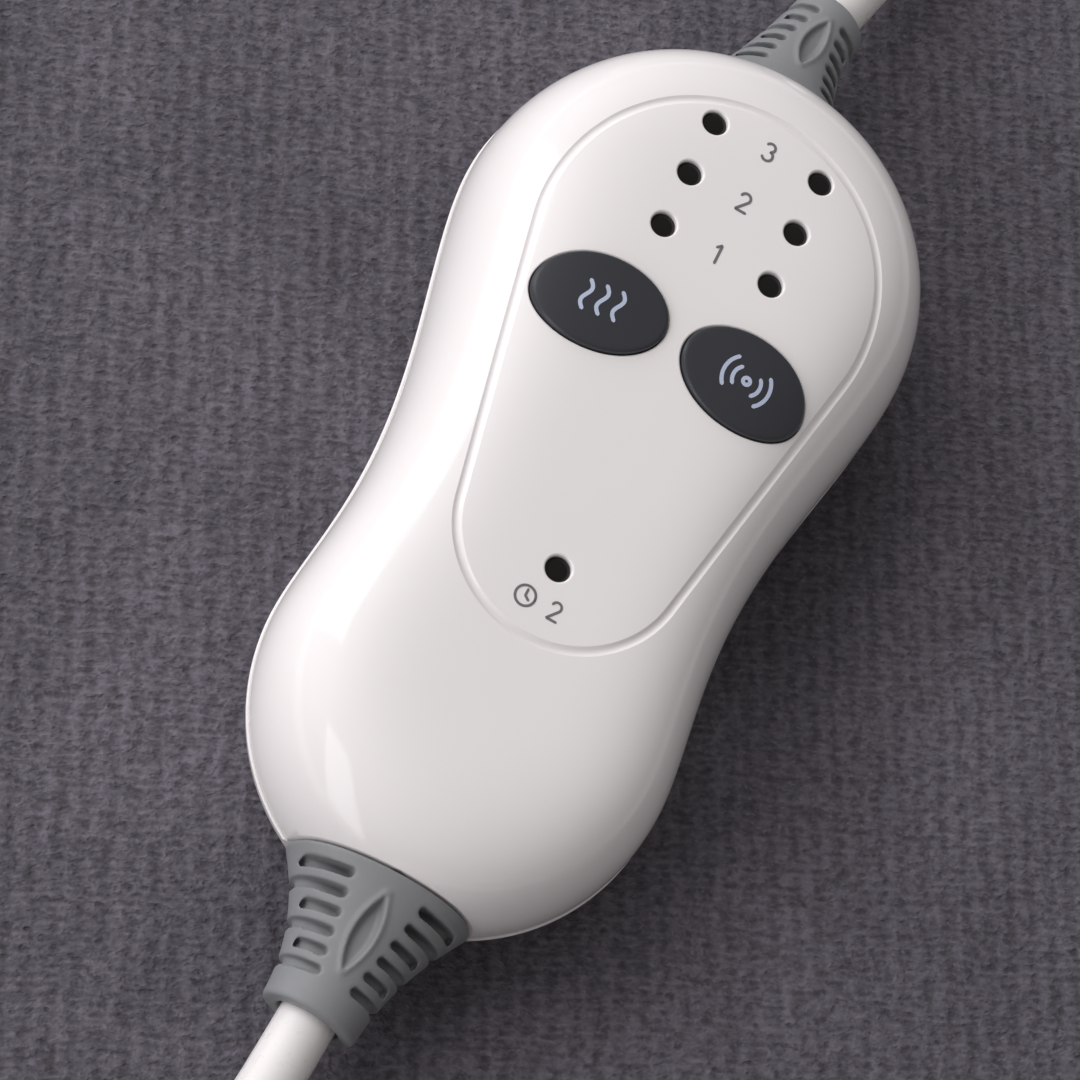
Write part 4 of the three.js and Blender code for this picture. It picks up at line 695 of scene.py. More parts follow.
def woven_cloth(name, hex_value, thread, depth):
    """Cloth inside the pad: threads that cross at their real spacing, as two long-grained noises times
    each other, with painted shade that darkens the colour where the threads dip."""
    made, tree, place = start_material(name)
    value, scale = linear(hex_value), 1000 / thread
    warps = add_node(tree, "Mapping", {"Vector": place}, Scale=(scale, scale / 8, scale))
    wefts = add_node(tree, "Mapping", {"Vector": place}, Scale=(scale / 8, scale, scale))
    warp = add_node(tree, "TexNoise", {"Vector": warps}, Scale=1.0, Detail=1.0)
    weft = add_node(tree, "TexNoise", {"Vector": wefts}, Scale=1.0, Detail=1.0)
    both = add_node(tree, "Math", {0: warp, 1: weft}, operation="MULTIPLY")
    height = add_node(tree, "MapRange", {0: both}, From_Min=0.15, From_Max=0.4)
    # Painted shade: the colour is darker where the weave's height is low and lighter where it is high
    tint = add_node(tree, "Mix", {0: height}, data_type="RGBA", i6=shade(value, 0.75), i7=shade(value, 1.1))
    rough = add_node(tree, "MapRange", {0: warp}, From_Min=0.3, From_Max=0.7, To_Min=0.8, To_Max=0.95)
    bump = add_node(tree, "Bump", {"Height": both}, Strength=1.0, Distance=depth * 0.001)
    return end_material(
        made, tint.outputs[2], rough, bump, IOR=1.45, Sheen_Weight=0.2, Specular_IOR_Level=0.2
    )


FINISHES = {}


def make_finishes(context):
    """One finish for each material slot of the record, and one for each colour of print."""
    scene = context.scene
    colours = scene.finish_colours
    FINISHES.update({
        "plush": plush_pile(colours, scene.pad_sizes),
        "padding": woven_cloth("quilted_polyester_padding", "#8D8A90", 0.6, 0.05),
        "carrier_felt": woven_cloth("needled_felt_white", "#D9D6CF", 0.9, 0.06),
        "wire_insulation": moulded_plastic("silicone_insulation_red", linear("#B4382F"), 0.4),
        "lead_insulation": moulded_plastic("pvc_insulation_black", linear("#26262A"), 0.4),
        "component_black": moulded_plastic("moulded_epoxy_black", linear("#26262A"), 0.5, 0.2, 0.01),
        "pod_plastic": moulded_plastic("moulded_abs_matte_grey", linear("#6D6F73"), 0.55, 0.3, 0.01),
        "motor_case": plated_metal("rolled_steel_zinc_plated", "#B9BCC0", 0.3),
        "weight_metal": plated_metal("turned_brass", "#B87333", 0.3),
        "terminal_plastic": moulded_plastic("moulded_nylon_white", linear("#D9D6CF"), 0.5),
        "relief_rubber": soft_pvc(colours, scene.housing_sizes.turn),
        # Polished mould: sharp reflections that swim a little where the wall shrank, and no grain
        "housing_plastic": grained(
            "moulded_abs_gloss_white", colours.housing, 18, 5, (0.975, 1.01), (0.085, 0.115), 0.006, IOR=1.54
        ),
        # Sparked mould: dark, with a soft wide sheen and a grain of a fifth of a millimetre
        "button_plastic": grained(
            "moulded_abs_satin_charcoal", colours.button, 14, 0.22, (0.94, 1.03), (0.3, 0.38), 0.006, IOR=1.54
        ),
        # Unlit and tinted: nearly black, with a hard clear gloss
        "lamp_lens": moulded_plastic("cast_epoxy_smoke", linear("#0E0C0B"), 0.16, 0.8, 0.002),
        # The glass weave shows faintly through the lacquer
        "board_laminate": grained(
            "lacquered_glass_epoxy_green", linear("#2F6A43"), 8, 0.5, (0.85, 1.1), (0.25, 0.35), 0.01,
            (1, 5, 1), IOR=1.5,
        ),
        "sink_metal": plated_metal("extruded_aluminium", "#B9BCC0", 0.35),
        "plated_metal": plated_metal("nickel_plated_brass", "#C4C2BC", 0.22),
        # Smooth and glossy, with long faint waves from the die
        "cord_sheath": grained(
            "extruded_pvc_white", colours.cord, 25, 1.2, (0.96, 1.01), (0.26, 0.34), 0.008, IOR=1.53
        ),
        # Thin, even and slightly matte
        "ink": moulded_plastic("pad_printed_ink_grey", colours.print, 0.42, 0.3),
        "pale_ink": moulded_plastic("pad_printed_ink_pale_blue", colours.button_print, 0.42, 0.3),
    })


def dress(piece, slot, body, *nodes, finish=None):
    """Gives a piece its finish and its body, and hides the nodes that it stands for."""
    piece.data.materials.clear()
    piece.data.materials.append(FINISHES[finish or slot])
    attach(piece, body)
    if nodes:
        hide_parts(*nodes)
    return piece


# Operators

class HEATPAD_OT_stage(bpy.types.Operator):
    """Set the camera at the photograph's angle, the soft lamps, the pale floor and the finishes"""

    bl_idname = "heatpad.stage"
    bl_label = "Stage"

    def execute(self, context):
        scene = context.scene
        scene.view_settings.view_transform = "Standard"
        lens = bpy.data.cameras.new("camera")
        lens.sensor_width = 36
        lens.lens = 36 * FOCAL_PIXELS / PHOTO_PIXELS
        lens.clip_start, lens.clip_end = 0.02, 20
        camera = new_object("camera", lens)
        turn = Matrix([CAMERA_RIGHT, [-v for v in CAMERA_DOWN], [-v for v in CAMERA_AHEAD]]).transposed()
        camera.matrix_world = Matrix.Translation(Vector(CAMERA_PLACE) * 0.001) @ turn.to_4x4()
        scene.camera = camera
        for name, values in LAMPS.items():
            self.lamp(name, *values)
        self.surround(scene)
        self.floor()
        make_finishes(context)
        return {"FINISHED"}

    def lamp(self, name, around, up, width, height, watts, turn, mirrored):
        """A soft rectangular lamp that faces the controller."""
        around, up = math.radians(around), math.radians(up)
        toward = Vector((math.cos(around) * math.cos(up), math.sin(around) * math.cos(up), math.sin(up)))
        data = bpy.data.lights.new(name, "AREA")
        data.shape = "RECTANGLE"
        data.size, data.size_y, data.energy = width, height, watts
        lamp = new_object(name, data)
        lamp.visible_camera, lamp.visible_glossy = False, mirrored
        lamp.location = toward * LAMP_DISTANCE + Vector((0, 0, 0.03))
        lamp.rotation_mode = "QUATERNION"
        facing = (-toward).to_track_quat("-Z", "Y")
        lamp.rotation_quaternion = facing @ Quaternion((0, 0, 1), math.radians(turn))

    def surround(self, scene):
        """Low even light from all round, with a pale background where the camera looks."""
        world = bpy.data.worlds.new("surround")
        scene.world = world
        world.use_nodes = True
        tree = world.node_tree
        tree.nodes.clear()
        seen = add_node(tree, "LightPath").outputs["Is Camera Ray"]
        low = add_node(tree, "Background", Color=(1, 0.97, 0.94, 1), Strength=0.22)
        pale = add_node(tree, "Background", Color=(0.86, 0.86, 0.87, 1), Strength=1.0)
        joined = add_node(tree, "MixShader", {0: seen, 1: low, 2: pale})
        add_node(tree, "OutputWorld", {"Surface": joined})

    def floor(self):
        """A wide pale sheet of paper under everything."""
        paper = linear("#DEDEDF")
        made = grained("matte_paper_pale", paper, 30, 3, (0.985, 1.01), (0.7, 0.8), 0.01, IOR=1.45)
        data = bpy.data.meshes.new("floor")
        corners = ((-1, -1), (1, -1), (1, 1), (-1, 1))
        data.from_pydata([(x * FLOOR_HALF, y * FLOOR_HALF, -0.0002) for x, y in corners], [], [(0, 1, 2, 3)])
        floor = new_object("floor", data)
        data.materials.append(made)


class HEATPAD_OT_mains_cord(bpy.types.Operator):
    """Lay the mains cord: out of the strain relief, wound in four layers on the pad, then to the plug"""

    bl_idname = "heatpad.mains_cord"
    bl_label = "Mains cord"

    def execute(self, context):
        scene = context.scene
        diameter = scene.cord_sizes.diameter
        across, along, lift = PLUG_PLACE
        end = np.array([across, along, mm(scene.pad_sizes.thickness) + lift])
        tail = straight(end, np.array([1.0, 0, 0]), [-mm(diameter) - CORD_GAP, -CORD_GAP, 1.5])
        start, path = cord_path(scene, "mains", MAINS_NEAR, MAINS_COIL, MAINS_FAR, tail, 12)
        cord = cord_curve("mains_cord", path, diameter)
        dress(cord, "cord_sheath", "base", "mains_cord_near", "mains_cord_coil", "mains_cord_far")
        make_plug(end)
        return {"FINISHED"}


def make_plug(end):
    """A moulded two-blade plug lying on its side: a rounded block whose sections are superellipses,
    drawn in for the fingers, with a ribbed tail along the cord."""
    tail, grip, half_width, half_height, square, nose_radius = 20, 25.2, 12.5, 8.5, 4.8, 0.8
    share = np.linspace(0, 1, 60)
    grow = share ** 2 * (3 - 2 * share)
    ribs = 0.35 * np.clip(np.sin(share * 2 * np.pi * 5.5), 0, 1) * (share < 0.82)
    boot = np.stack([end[0] + tail * share, 5 + (half_width - 5) * grow - ribs,
                     5 + (half_height - 5) * grow - ribs, 2.2 + (square - 2.2) * grow], -1)
    share = np.linspace(0, 1, 30)[1:]
    waist = 1.1 * np.sin(np.pi * np.clip(share / 0.75, 0, 1)) ** 2
    body = np.stack([end[0] + tail + grip * share, half_width - waist, half_height - waist * 0.5,
                     square + 0 * share], -1)
    turn = np.linspace(0.2, np.pi / 2, 5)
    drop = nose_radius * (1 - np.cos(turn))
    nose = np.stack([end[0] + tail + grip + nose_radius * np.sin(turn), half_width - drop,
                     half_height - drop, square + 0 * turn], -1)
    rows = np.concatenate([boot, body, nose])
    angles, power = full_turn(96), 2 / rows[:, 3:]
    y, z = (end[i] + rows[:, i:i + 1] * np.sign(v) * np.abs(v) ** power
            for i, v in ((1, np.cos(angles)[None]), (2, np.sin(angles)[None])))
    x = np.broadcast_to(rows[:, :1], y.shape)
    plug = ring_object("plug", np.stack([x, y, z], -1), crease=40)
    pieces = [dress(plug, "cord_sheath", "base", "plug_body")]
    for number, side in ((1, -1), (2, 1)):
        place = (end[0] + tail + grip + nose_radius, end[1] + side * BLADE_SPACING / 2, end[2])
        blade = make_blade(f"blade_{number}", *place)
        pieces.append(dress(blade, "plated_metal", "base", f"plug_blade_{number}"))
    return pieces


def make_blade(name, face, y, z):
    """A flat blade with a rounded tip and a hole near it. Its outline is a stadium cut off at the plug,
    and the hole is bored afterwards."""
    root, reach, half, tip = face + 0.3, 17, 3.175, 3.2
    turn = np.radians(np.linspace(-90, 90, 24))
    arc = np.stack([root + reach - tip + tip * np.cos(turn) ** 0.8, half * np.sin(turn)], -1)
    outline = np.concatenate([[[root, -half]], arc, [[root, half]]])
    middle = np.array([face + 8.8, 0])
    rows = []
    for across, shrink in ((-0.75, 0.25), (-0.5, 0), (0.5, 0), (0.75, 0.25)):
        drawn = middle + (outline - middle) * (1 - shrink / 8)
        rows.append(np.insert(drawn + [0, z], 1, y + across, axis=1))
    blade = ring_object(name, rows, crease=30)
    bore = lathe_rings([(1.55, -3), (1.55, 3)], 32, (face + 13.2, y, z))
    cut_away(blade, [ring_object("bore", bore)], 30)
    return blade


class HEATPAD_OT_pad_cord(bpy.types.Operator):
    """Lay the cord from the controller to the pad, with two turns put away, and its boot at the pad"""

    bl_idname = "heatpad.pad_cord"
    bl_label = "Pad cord"

    def execute(self, context):
        scene = context.scene
        sizes, diameter = scene.pad_sizes, scene.cord_sizes.diameter
        edge = mm(sizes.length) / 2 + CORD_GAP
        end = np.array([mm(sizes.width) / 2 - 42.5, edge + 24.3, mm(sizes.seam_height)])
        floor = [np.array(p, float) for p in PAD_FLOOR]
        tail = [*floor, *straight(end, np.array([0, 1.0, 0]), [mm(diameter), 0, -1.5])]
        start, path = cord_path(scene, "pad", PAD_NEAR, PAD_COIL, PAD_FAR, tail, 10)
        cord = cord_curve("pad_cord", path, diameter)
        dress(cord, "cord_sheath", "base", "pad_cord_near", "pad_cord_coil", "pad_cord_far")
        make_boot(end, edge)
        return {"FINISHED"}


def make_boot(end, edge):
    """The pad's cord boot: a cone with rolled rings, a neck through the seam and a flange inside."""
    length, wide, taper, neck, flange, bend = 24, 7.5, 2.3, 4.6, 6, 0.4
    share = np.linspace(0, 1, 90)
    ribbed = (share > 0.12) & (share < 0.9)
    rings = 0.45 * np.clip(np.sin((share - 0.12) * 2 * np.pi * 6.5), 0, 1) * ribbed
    cone = np.stack([wide - taper * share - rings, edge + length * share], -1)
    inside = [(flange, edge - 33.3), (flange, edge - 30.3), (neck, edge - 30.3), (neck, edge)]
    inside += rounded((wide - bend, edge + bend), bend, -90, 0)
    mouth = rounded((wide - taper - bend, edge + length - 0.3), bend, 0, 90)
    mouth += [(3.6, edge + length + 0.1), (3.6, edge + length - 2)]
    profile = np.concatenate([inside, cone[2:-2], mouth])
    boot = ring_object("cord_boot", lathe_rings(profile, 64, (end[0], 0, end[2])), crease=40)
    return dress(boot, "relief_rubber", "base", "pad_cord_inlet")


class HEATPAD_OT_pad(bpy.types.Operator):
    """Sew the plush pad: two covers rolled over to a seam, with a soft flat middle"""

    bl_idname = "heatpad.pad"
    bl_label = "Plush pad"

    def execute(self, context):
        pad = ring_object("plush_pad", self.rings(context.scene.pad_sizes), caps=False, crease=80)
        dress(pad, "plush", "base", "pad_cover_top", "pad_cover_bottom")
        return {"FINISHED"}

    def outline(self, sizes, inset):
        """A rectangle with round corners whose long sides pull in as sin squared between them."""
        half = np.array([mm(sizes.width), mm(sizes.length)]) / 2 - inset
        radius = mm(sizes.corner_radius) - inset * 0.5
        corner_steps, short_steps, long_steps = 14, 60, 140
        points = []
        for index, (sx, sy) in enumerate(((1, 1), (-1, 1), (-1, -1), (1, -1))):
            angle = (index + np.linspace(0, 1, corner_steps + 1)) * np.pi / 2
            centre = np.array([sx, sy]) * (half - radius)
            arc = centre + radius * np.stack([np.cos(angle), np.sin(angle)], -1)
            long = index % 2 == 1
            share = np.linspace(0, 1, (long_steps if long else short_steps) + 1)[1:-1, None]
            target = arc[-1] * ([1, -1] if long else [-1, 1])
            side = arc[-1] + (target - arc[-1]) * share
            if long:
                side[:, :1] -= np.sign(arc[-1, 0]) * mm(sizes.draw_in) * np.sin(share * np.pi) ** 2
            points += [arc, side]
        return np.concatenate(points)

    def half_form(self, sizes, upper):
        """Rings from the seam over the roll, where x and z follow a superellipse, to the middle line."""
        power, seam = 2.2, mm(sizes.seam_height)
        roll = mm(sizes.top_roll if upper else sizes.foot_roll)
        reach = (mm(sizes.thickness) - seam) if upper else -seam
        rows = []
        for turn in np.radians(np.linspace(0, 90, 15)):
            run = max(math.cos(turn), 0) ** (2 / power)
            inset = roll * (1 - run) + 1.1 * math.exp(-(turn / 0.1) ** 2)
            rows.append(raised(self.outline(sizes, inset), seam + reach * math.sin(turn) ** (2 / power)))
        last = rows[-1]
        core_half = mm(sizes.length) / 2 - mm(sizes.width) / 2
        core = np.column_stack([0 * last[:, 0], np.clip(last[:, 1], -core_half, core_half), last[:, 2]])
        return np.array(rows + [core + (last - core) * keep for keep in np.linspace(1, 0, 44)[1:]])

    def rings(self, sizes):
        upper, lower = self.half_form(sizes, True), self.half_form(sizes, False)
        x, y, z = np.moveaxis(upper, -1, 0)
        swell = np.sin(x / 31 + y / 47) + np.sin(x / 23 - y / 38 + 1.3) + np.sin(x / 57 + y / 29 + 2.1)
        clear = 1 - np.exp(-(np.clip(np.hypot(x - 0.18 * y, y * 0.42) - 58, 0, None) / 30) ** 2)
        near_edge = np.clip((mm(sizes.width) / 2 - np.abs(x)) / 40, 0, 1)
        rise = np.clip((z - mm(sizes.seam_height)) / 14, 0, 1) ** 2
        upper[..., 2] += 0.45 * swell * clear * near_edge * rise
        return np.concatenate([lower[::-1], upper[1:]])


class HEATPAD_OT_housing(bpy.types.Operator):
    """Mould the controller's two shells, with the groove, the button wells and the lamp holes"""

    bl_idname = "heatpad.housing"
    bl_label = "Controller housing"

    def execute(self, context):
        scene = context.scene
        housing, controls = Housing(scene.housing_sizes), scene.control_sizes
        wall, parting = housing.wall, housing.parting
        top_lip = [housing.rim(inset, parting + lift)
                   for inset, lift in ((wall, -0.1), (LEDGE, -0.14), (0.07, -0.09), (0.01, 0.02))]
        foot_lip = [housing.rim(inset, parting - drop)
                    for inset, drop in ((wall, 0.3), (0.0, 0.3), (-0.12, 0.33), (-0.19, 0.4), (-LEDGE, 0.52))]
        skirt = housing.skin(-LEDGE, False, 86)
        skirt[..., 2] = np.maximum(skirt[..., 2], 0)
        top_rings = [housing.skin(wall, True, 89)[::-1], *top_lip, housing.skin(0, True, 87.5)]
        foot_rings = [housing.skin(wall, False, 85)[::-1], *foot_lip, skirt]
        top = ring_object("upper_shell", np.concatenate(top_rings), caps=False)
        foot = ring_object("lower_shell", np.concatenate(foot_rings), caps=False)
        reliefs = [Relief(housing, scene.cord_sizes, name) for name in ("pad", "mains")]
        ovals = [button_oval(controls, side, mm(controls.button_gap), 160) for side in (-1, 1)]
        circles = [lamp_circle(controls, place, 64) for place in lamp_places(controls)]
        wells = [ring_object("well", self.well(housing, *shape)) for shape in ovals + circles]
        cut_away(top, [*self.end_blocks(reliefs), self.groove(housing, controls), *wells], 40)
        head, shank, seat = 2.7, 1.6, 4.9
        bore = [(head, -1), (head, seat), (shank, seat), (shank, 9)]
        bores = [ring_object("bore", lathe_rings(bore, 40, (x, y, 0), upright=True)) for x, y in SCREW_PLACES]
        cut_away(foot, [*self.end_blocks(reliefs), *bores], 40)
        self.true_normals(top.data, housing)
        dress(housing.place(top), "housing_plastic", "base", "housing_top")
        dress(housing.place(foot), "housing_plastic", "base", "housing_bottom")
        return {"FINISHED"}

    def true_normals(self, data, housing):
        """Sets the normals of the face corners that lie on the outer surface to that of its height
        formula, (-dz/dx, -dz/dy, 1), with the slopes taken over a hundredth of a millimetre."""
        def read(items, attribute, kind, width):
            values = np.empty(len(items) * width, kind)
            items.foreach_get(attribute, values)
            return values.reshape(-1, width)

        x, y, z = read(data.vertices, "co", float, 3).T * 1000
        step = 0.01
        along_x = (housing.top(x + step, y) - housing.top(x - step, y)) / (2 * step)
        along_y = (housing.top(x, y + step) - housing.top(x, y - step)) / (2 * step)
        normals = np.column_stack([-along_x, -along_y, np.ones(len(x))])
        normals /= np.linalg.norm(normals, axis=1, keepdims=True)
        on_skin = (np.abs(z - housing.top(x, y)) < 0.03) & (housing.out(x, y) < 0.985)
        corners = read(data.loops, "vertex_index", np.int32, 1)[:, 0]
        sizes = read(data.polygons, "loop_total", np.int32, 1)[:, 0]
        facing = np.repeat(read(data.polygons, "normal", float, 3), sizes, axis=0)
        wanted = normals[corners]
        level = np.sum(facing * wanted, axis=1) > 0.97
        wanted[~(level & on_skin[corners])] = 0
        data.normals_split_custom_set(wanted.tolist())

    def end_blocks(self, reliefs):
        """Boxes that cut the housing off flat where the strain reliefs begin."""
        corners = np.array([[-30, -20], [30, -20], [30, 60], [-30, 60]], float)
        return [
            ring_object("end_block", np.array([np.insert(corners, 1, y, axis=1)
                                               for y in (relief.end, relief.end + relief.side * 30)]))
            for relief in reliefs
        ]

    def well(self, housing, middle, outline):
        """A cutter whose mouth is rounded: it widens by radius * (1 - cos a) while it rises by
        radius * sin a, and its height follows the housing's surface."""
        grow = outline / np.linalg.norm(outline, axis=1, keepdims=True)
        angles, radius = np.radians([0, 15, 30, 45, 58, 70]), WELL_MOUTH
        rows = [(radius * (1 - math.cos(a)), radius * (math.sin(a) - 1)) for a in angles]
        out, height = rows[-1]
        rows += [(out + 0.5, height + 0.5 * math.tan(math.radians(20))), (out + 0.5, 6.0)]
        rings = [raised(middle + outline, WELL_FLOOR)]
        for out, height in rows:
            flat = middle + outline + grow * out
            rings.append(raised(flat, housing.top_at(flat) + height))
        return np.array(rings)

    def groove(self, housing, controls):
        """A soft trough swept round the control area, at an even depth under the surface."""
        path, outward = groove_path()
        wide, deep = mm(controls.groove_half_width), mm(controls.groove_depth)
        across = np.array([-1.75, -1.25, -1.0, -0.72, -0.36, 0, 0.36, 0.72, 1.0, 1.25, 1.75]) * wide
        depth = np.array([-0.8, -0.1, 0.16, 0.55, 0.9, 1.0, 0.9, 0.55, 0.16, -0.1, -0.8]) * -deep
        flat = path[None] + outward[None] * across[:, None, None]
        z = housing.top_at(flat) + depth[:, None]
        rows = np.concatenate([flat, z[..., None]], -1).swapaxes(0, 1)
        rows = np.concatenate([rows, rows[:1]])
        return mesh_object("groove", rows.reshape(-1, 3) * 0.001, ring_quads(len(rows), rows.shape[1]))


def groove_path(steps=520):
    """Points and outward directions round two circles joined by the lines that touch both."""
    def arc(radius, y, angle):
        out = np.stack([np.cos(angle), np.sin(angle)], -1)
        return np.concatenate([radius * out + [0, y], out], axis=1)

    (wide, wide_y), (small, small_y) = GROOVE_CIRCLES
    lean = math.asin((wide - small) / (wide_y - small_y))
    upper = np.linspace(-lean, math.pi + lean, 220)
    lower = np.linspace(math.pi + lean, 2 * math.pi - lean, 140)
    rows = np.concatenate([arc(wide, wide_y, upper), arc(small, small_y, lower)])
    rows = np.concatenate([rows, rows[:1]])
    run = np.concatenate([[0], np.cumsum(np.linalg.norm(np.diff(rows[:, :2], axis=0), axis=1))])
    at = np.linspace(0, run[-1], steps, endpoint=False)
    even = np.stack([np.interp(at, run, rows[:, i]) for i in range(4)], -1)
    return even[:, :2], even[:, 2:] / np.linalg.norm(even[:, 2:], axis=1, keepdims=True)


def button_oval(controls, side, grow, steps):
    """The middle of a button and its oval outline, in millimetres."""
    angles = full_turn(steps)
    x = (mm(controls.button_half_length) + grow) * np.cos(angles)
    y = (mm(controls.button_half_width) + grow) * np.sin(angles)
    tilt = -side * controls.button_tilt
    turned = np.stack([x * math.cos(tilt) - y * math.sin(tilt), x * math.sin(tilt) + y * math.cos(tilt)], -1)
    return np.array([side * mm(controls.button_aside), mm(controls.button_along)]), turned


def lamp_places(controls):
    """Where the lamps are: the left column from the top, the right one, then the timer's."""
    rows = [mm(controls.lamp_top_row) - row * mm(controls.lamp_pitch) for row in range(3)]
    places = [(side * mm(controls.lamp_aside), y) for side in (-1, 1) for y in rows]
    return places + [(0.0, -mm(controls.timer_lamp))]


def lamp_circle(controls, place, steps):
    angles = full_turn(steps)
    return np.array(place), mm(controls.lamp_radius) * np.stack([np.cos(angles), np.sin(angles)], -1)


class HEATPAD_OT_buttons(bpy.types.Operator):
    """Make the two oval button caps, with rounded edges and a flange inside the housing"""

    bl_idname = "heatpad.buttons"
    bl_label = "Buttons"

    def execute(self, context):
        housing, controls = Housing(context.scene.housing_sizes), context.scene.control_sizes
        for side, key in ((-1, "heat"), (1, "massage")):
            cap = ring_object(f"{key}_cap", self.rings(housing, controls, side), crease=50)
            dress(housing.place(cap), "button_plastic", f"{key}_key", f"{key}_button")
        return {"FINISHED"}

    def rings(self, housing, controls, side):
        """A flange inside the housing, the side, and a rounded edge up to the crown: near the edge the
        height falls as a quarter circle, and the crown swells as 1 - share squared."""
        proud, short = mm(controls.button_proud), mm(controls.button_half_width)
        middle, rim = button_oval(controls, side, 0, 160)
        _, flange = button_oval(controls, side, 1.2, 160)
        foot, under, clear = 22.4, housing.wall + 0.3, 0.05
        rows = [raised(middle + flange, foot)]
        for flat in (middle + flange, middle + rim):
            rows.append(raised(flat, housing.top_at(flat, under) - clear))
        turn = np.radians(np.linspace(0, 90, 9))
        keeps = 1 - BUTTON_EDGE * (1 - np.cos(turn)) / short
        crown = np.linspace(1 - BUTTON_EDGE / short, 0.02, 14)[1:]
        drops = [*BUTTON_EDGE * (1 - np.sin(turn)), *-BUTTON_CROWN * (1 - crown ** 2)]
        for keep, drop in zip([*keeps, *crown], drops):
            flat = middle + rim * keep
            rows.append(raised(flat, housing.top_at(flat) + proud - drop))
        return np.array(rows)


class HEATPAD_OT_lamps(bpy.types.Operator):
    """Seat the seven dark lamps in their holes"""

    bl_idname = "heatpad.lamps"
    bl_label = "Lamps"

    def execute(self, context):
        housing, controls = Housing(context.scene.housing_sizes), context.scene.control_sizes
        names = [f"{key}_lamp_{number}" for key in ("heat", "massage") for number in (3, 2, 1)]
        radius, length = mm(controls.lamp_radius) - LENS_GAP, 5.3
        turn = np.radians(np.linspace(0, 86, 12))
        for name, place in zip([*names, "auto_off_lamp"], lamp_places(controls)):
            top = float(housing.top_at(np.array(place))) - LENS_SUNK
            dome = [(radius * math.cos(a), top + LENS_DOME * (math.sin(a) - 1)) for a in turn]
            rings = lathe_rings([(radius, top - length), *dome], 48, (*place, 0), upright=True)
            lamp = ring_object(name.replace("auto_off", "timer") + "_lens", rings)
            dress(housing.place(lamp), "lamp_lens", "base", name)
        return {"FINISHED"}


class HEATPAD_OT_marks(bpy.types.Operator):
    """Print the level numbers, the heat and massage signs and the timer sign"""

    bl_idname = "heatpad.marks"
    bl_label = "Printed marks"

    def execute(self, context):
        housing, controls = Housing(context.scene.housing_sizes), context.scene.control_sizes
        for number, (_, y) in zip((3, 2, 1), lamp_places(controls)[:3]):
            strokes = [np.array(s) * 2.3 + [0, y] for s in digit(number)]
            self.print_on(housing, f"level_mark_{number}", strokes, 0.34, 0, "base", "ink")
        clock_middle = np.array([-1.9, -mm(controls.timer_lamp) - 4.5])
        clock = [circle(1.15, 40) + clock_middle, np.array([[0, 0.75], [0, 0], [0.5, -0.35]]) + clock_middle]
        clock += [np.array(s) * 2.1 + [1.7, clock_middle[1]] for s in digit(2)]
        self.print_on(housing, "timer_mark", clock, 0.3, 0, "base", "ink")
        proud = mm(controls.button_proud) + 0.07
        for side, key, sign in ((-1, "heat", heat_sign()), (1, "massage", massage_sign())):
            middle, _ = button_oval(controls, side, 0, 4)
            tilt = -side * controls.button_tilt
            spin = np.array([[math.cos(tilt), math.sin(tilt)], [-math.sin(tilt), math.cos(tilt)]])
            strokes = [np.array(s) @ spin + middle for s in sign]
            self.print_on(housing, f"{key}_mark", strokes, 0.46, proud, f"{key}_key", "pale_ink")
        return {"FINISHED"}

    def print_on(self, housing, name, strokes, width, proud, body, ink):
        """Flat ribbons of ink along the strokes, a few hundredths of a millimetre thick, that follow the
        surface under them and narrow at each end."""
        points, quads, count = [], [], 0
        for stroke in strokes:
            flat = even_spacing(raised(stroke, 0.0), 0.12)[:, :2]
            along = np.gradient(flat, axis=0)
            along /= np.linalg.norm(along, axis=1, keepdims=True)
            across = np.stack([-along[:, 1], along[:, 0]], -1) * width / 2
            tip = along[[0, -1]] * width * 0.42
            flat = np.concatenate([[flat[0] - tip[0]], flat, [flat[-1] + tip[1]]])
            across = np.concatenate([[across[0] * 0.35], across, [across[-1] * 0.35]])
            rings = []
            for side, lift in ((-1, -0.03), (-1, MARK_LIFT), (1, MARK_LIFT), (1, -0.03)):
                edge = flat + across * side
                rings.append(raised(edge, housing.top_at(edge) + proud + lift))
            rows = with_ends(np.array(rings).swapaxes(0, 1))
            points.append(rows.reshape(-1, 3) * 0.001)
            quads.append(ring_quads(len(rows), 4) + count)
            count += len(points[-1])
        mark = mesh_object(name, np.concatenate(points), np.concatenate(quads))
        slot = "button_plastic" if ink == "pale_ink" else "housing_plastic"
        dress(housing.place(mark), slot, body, finish=ink)


def circle(radius, steps, start=0.0, end=360.0):
    angle = np.radians(np.linspace(start, end, steps))
    return radius * np.stack([np.cos(angle), np.sin(angle)], -1)


def digit(number):
    """Strokes of a plain figure one unit high, centred on its place."""
    if number == 1:
        return [np.array([[-0.18, 0.3], [0.03, 0.5], [0.03, -0.5]])]
    if number == 2:
        bow = circle(0.26, 16, 165, -35) + [0, 0.24]
        return [np.concatenate([bow, [[-0.27, -0.5], [0.29, -0.5]]])]
    upper = circle(0.24, 14, 150, -80) + [0, 0.26]
    lower = circle(0.28, 16, 80, -150) + [0, -0.22]
    return [np.concatenate([upper, lower])]


def heat_sign():
    """Three rising waves."""
    rise = np.linspace(-1.75, 1.75, 30)
    return [np.stack([x + 0.42 * np.sin(rise / 3.5 * 2 * np.pi), rise], -1) for x in (-1.9, 0, 1.9)]


def massage_sign():
    """A dot with two arcs on each side, as for something that shakes."""
    arcs = [circle(r, 18, -42, 42) for r in (1.7, 2.9)] + [circle(r, 18, 138, 222) for r in (1.7, 2.9)]
    return [circle(0.42, 14), *arcs]


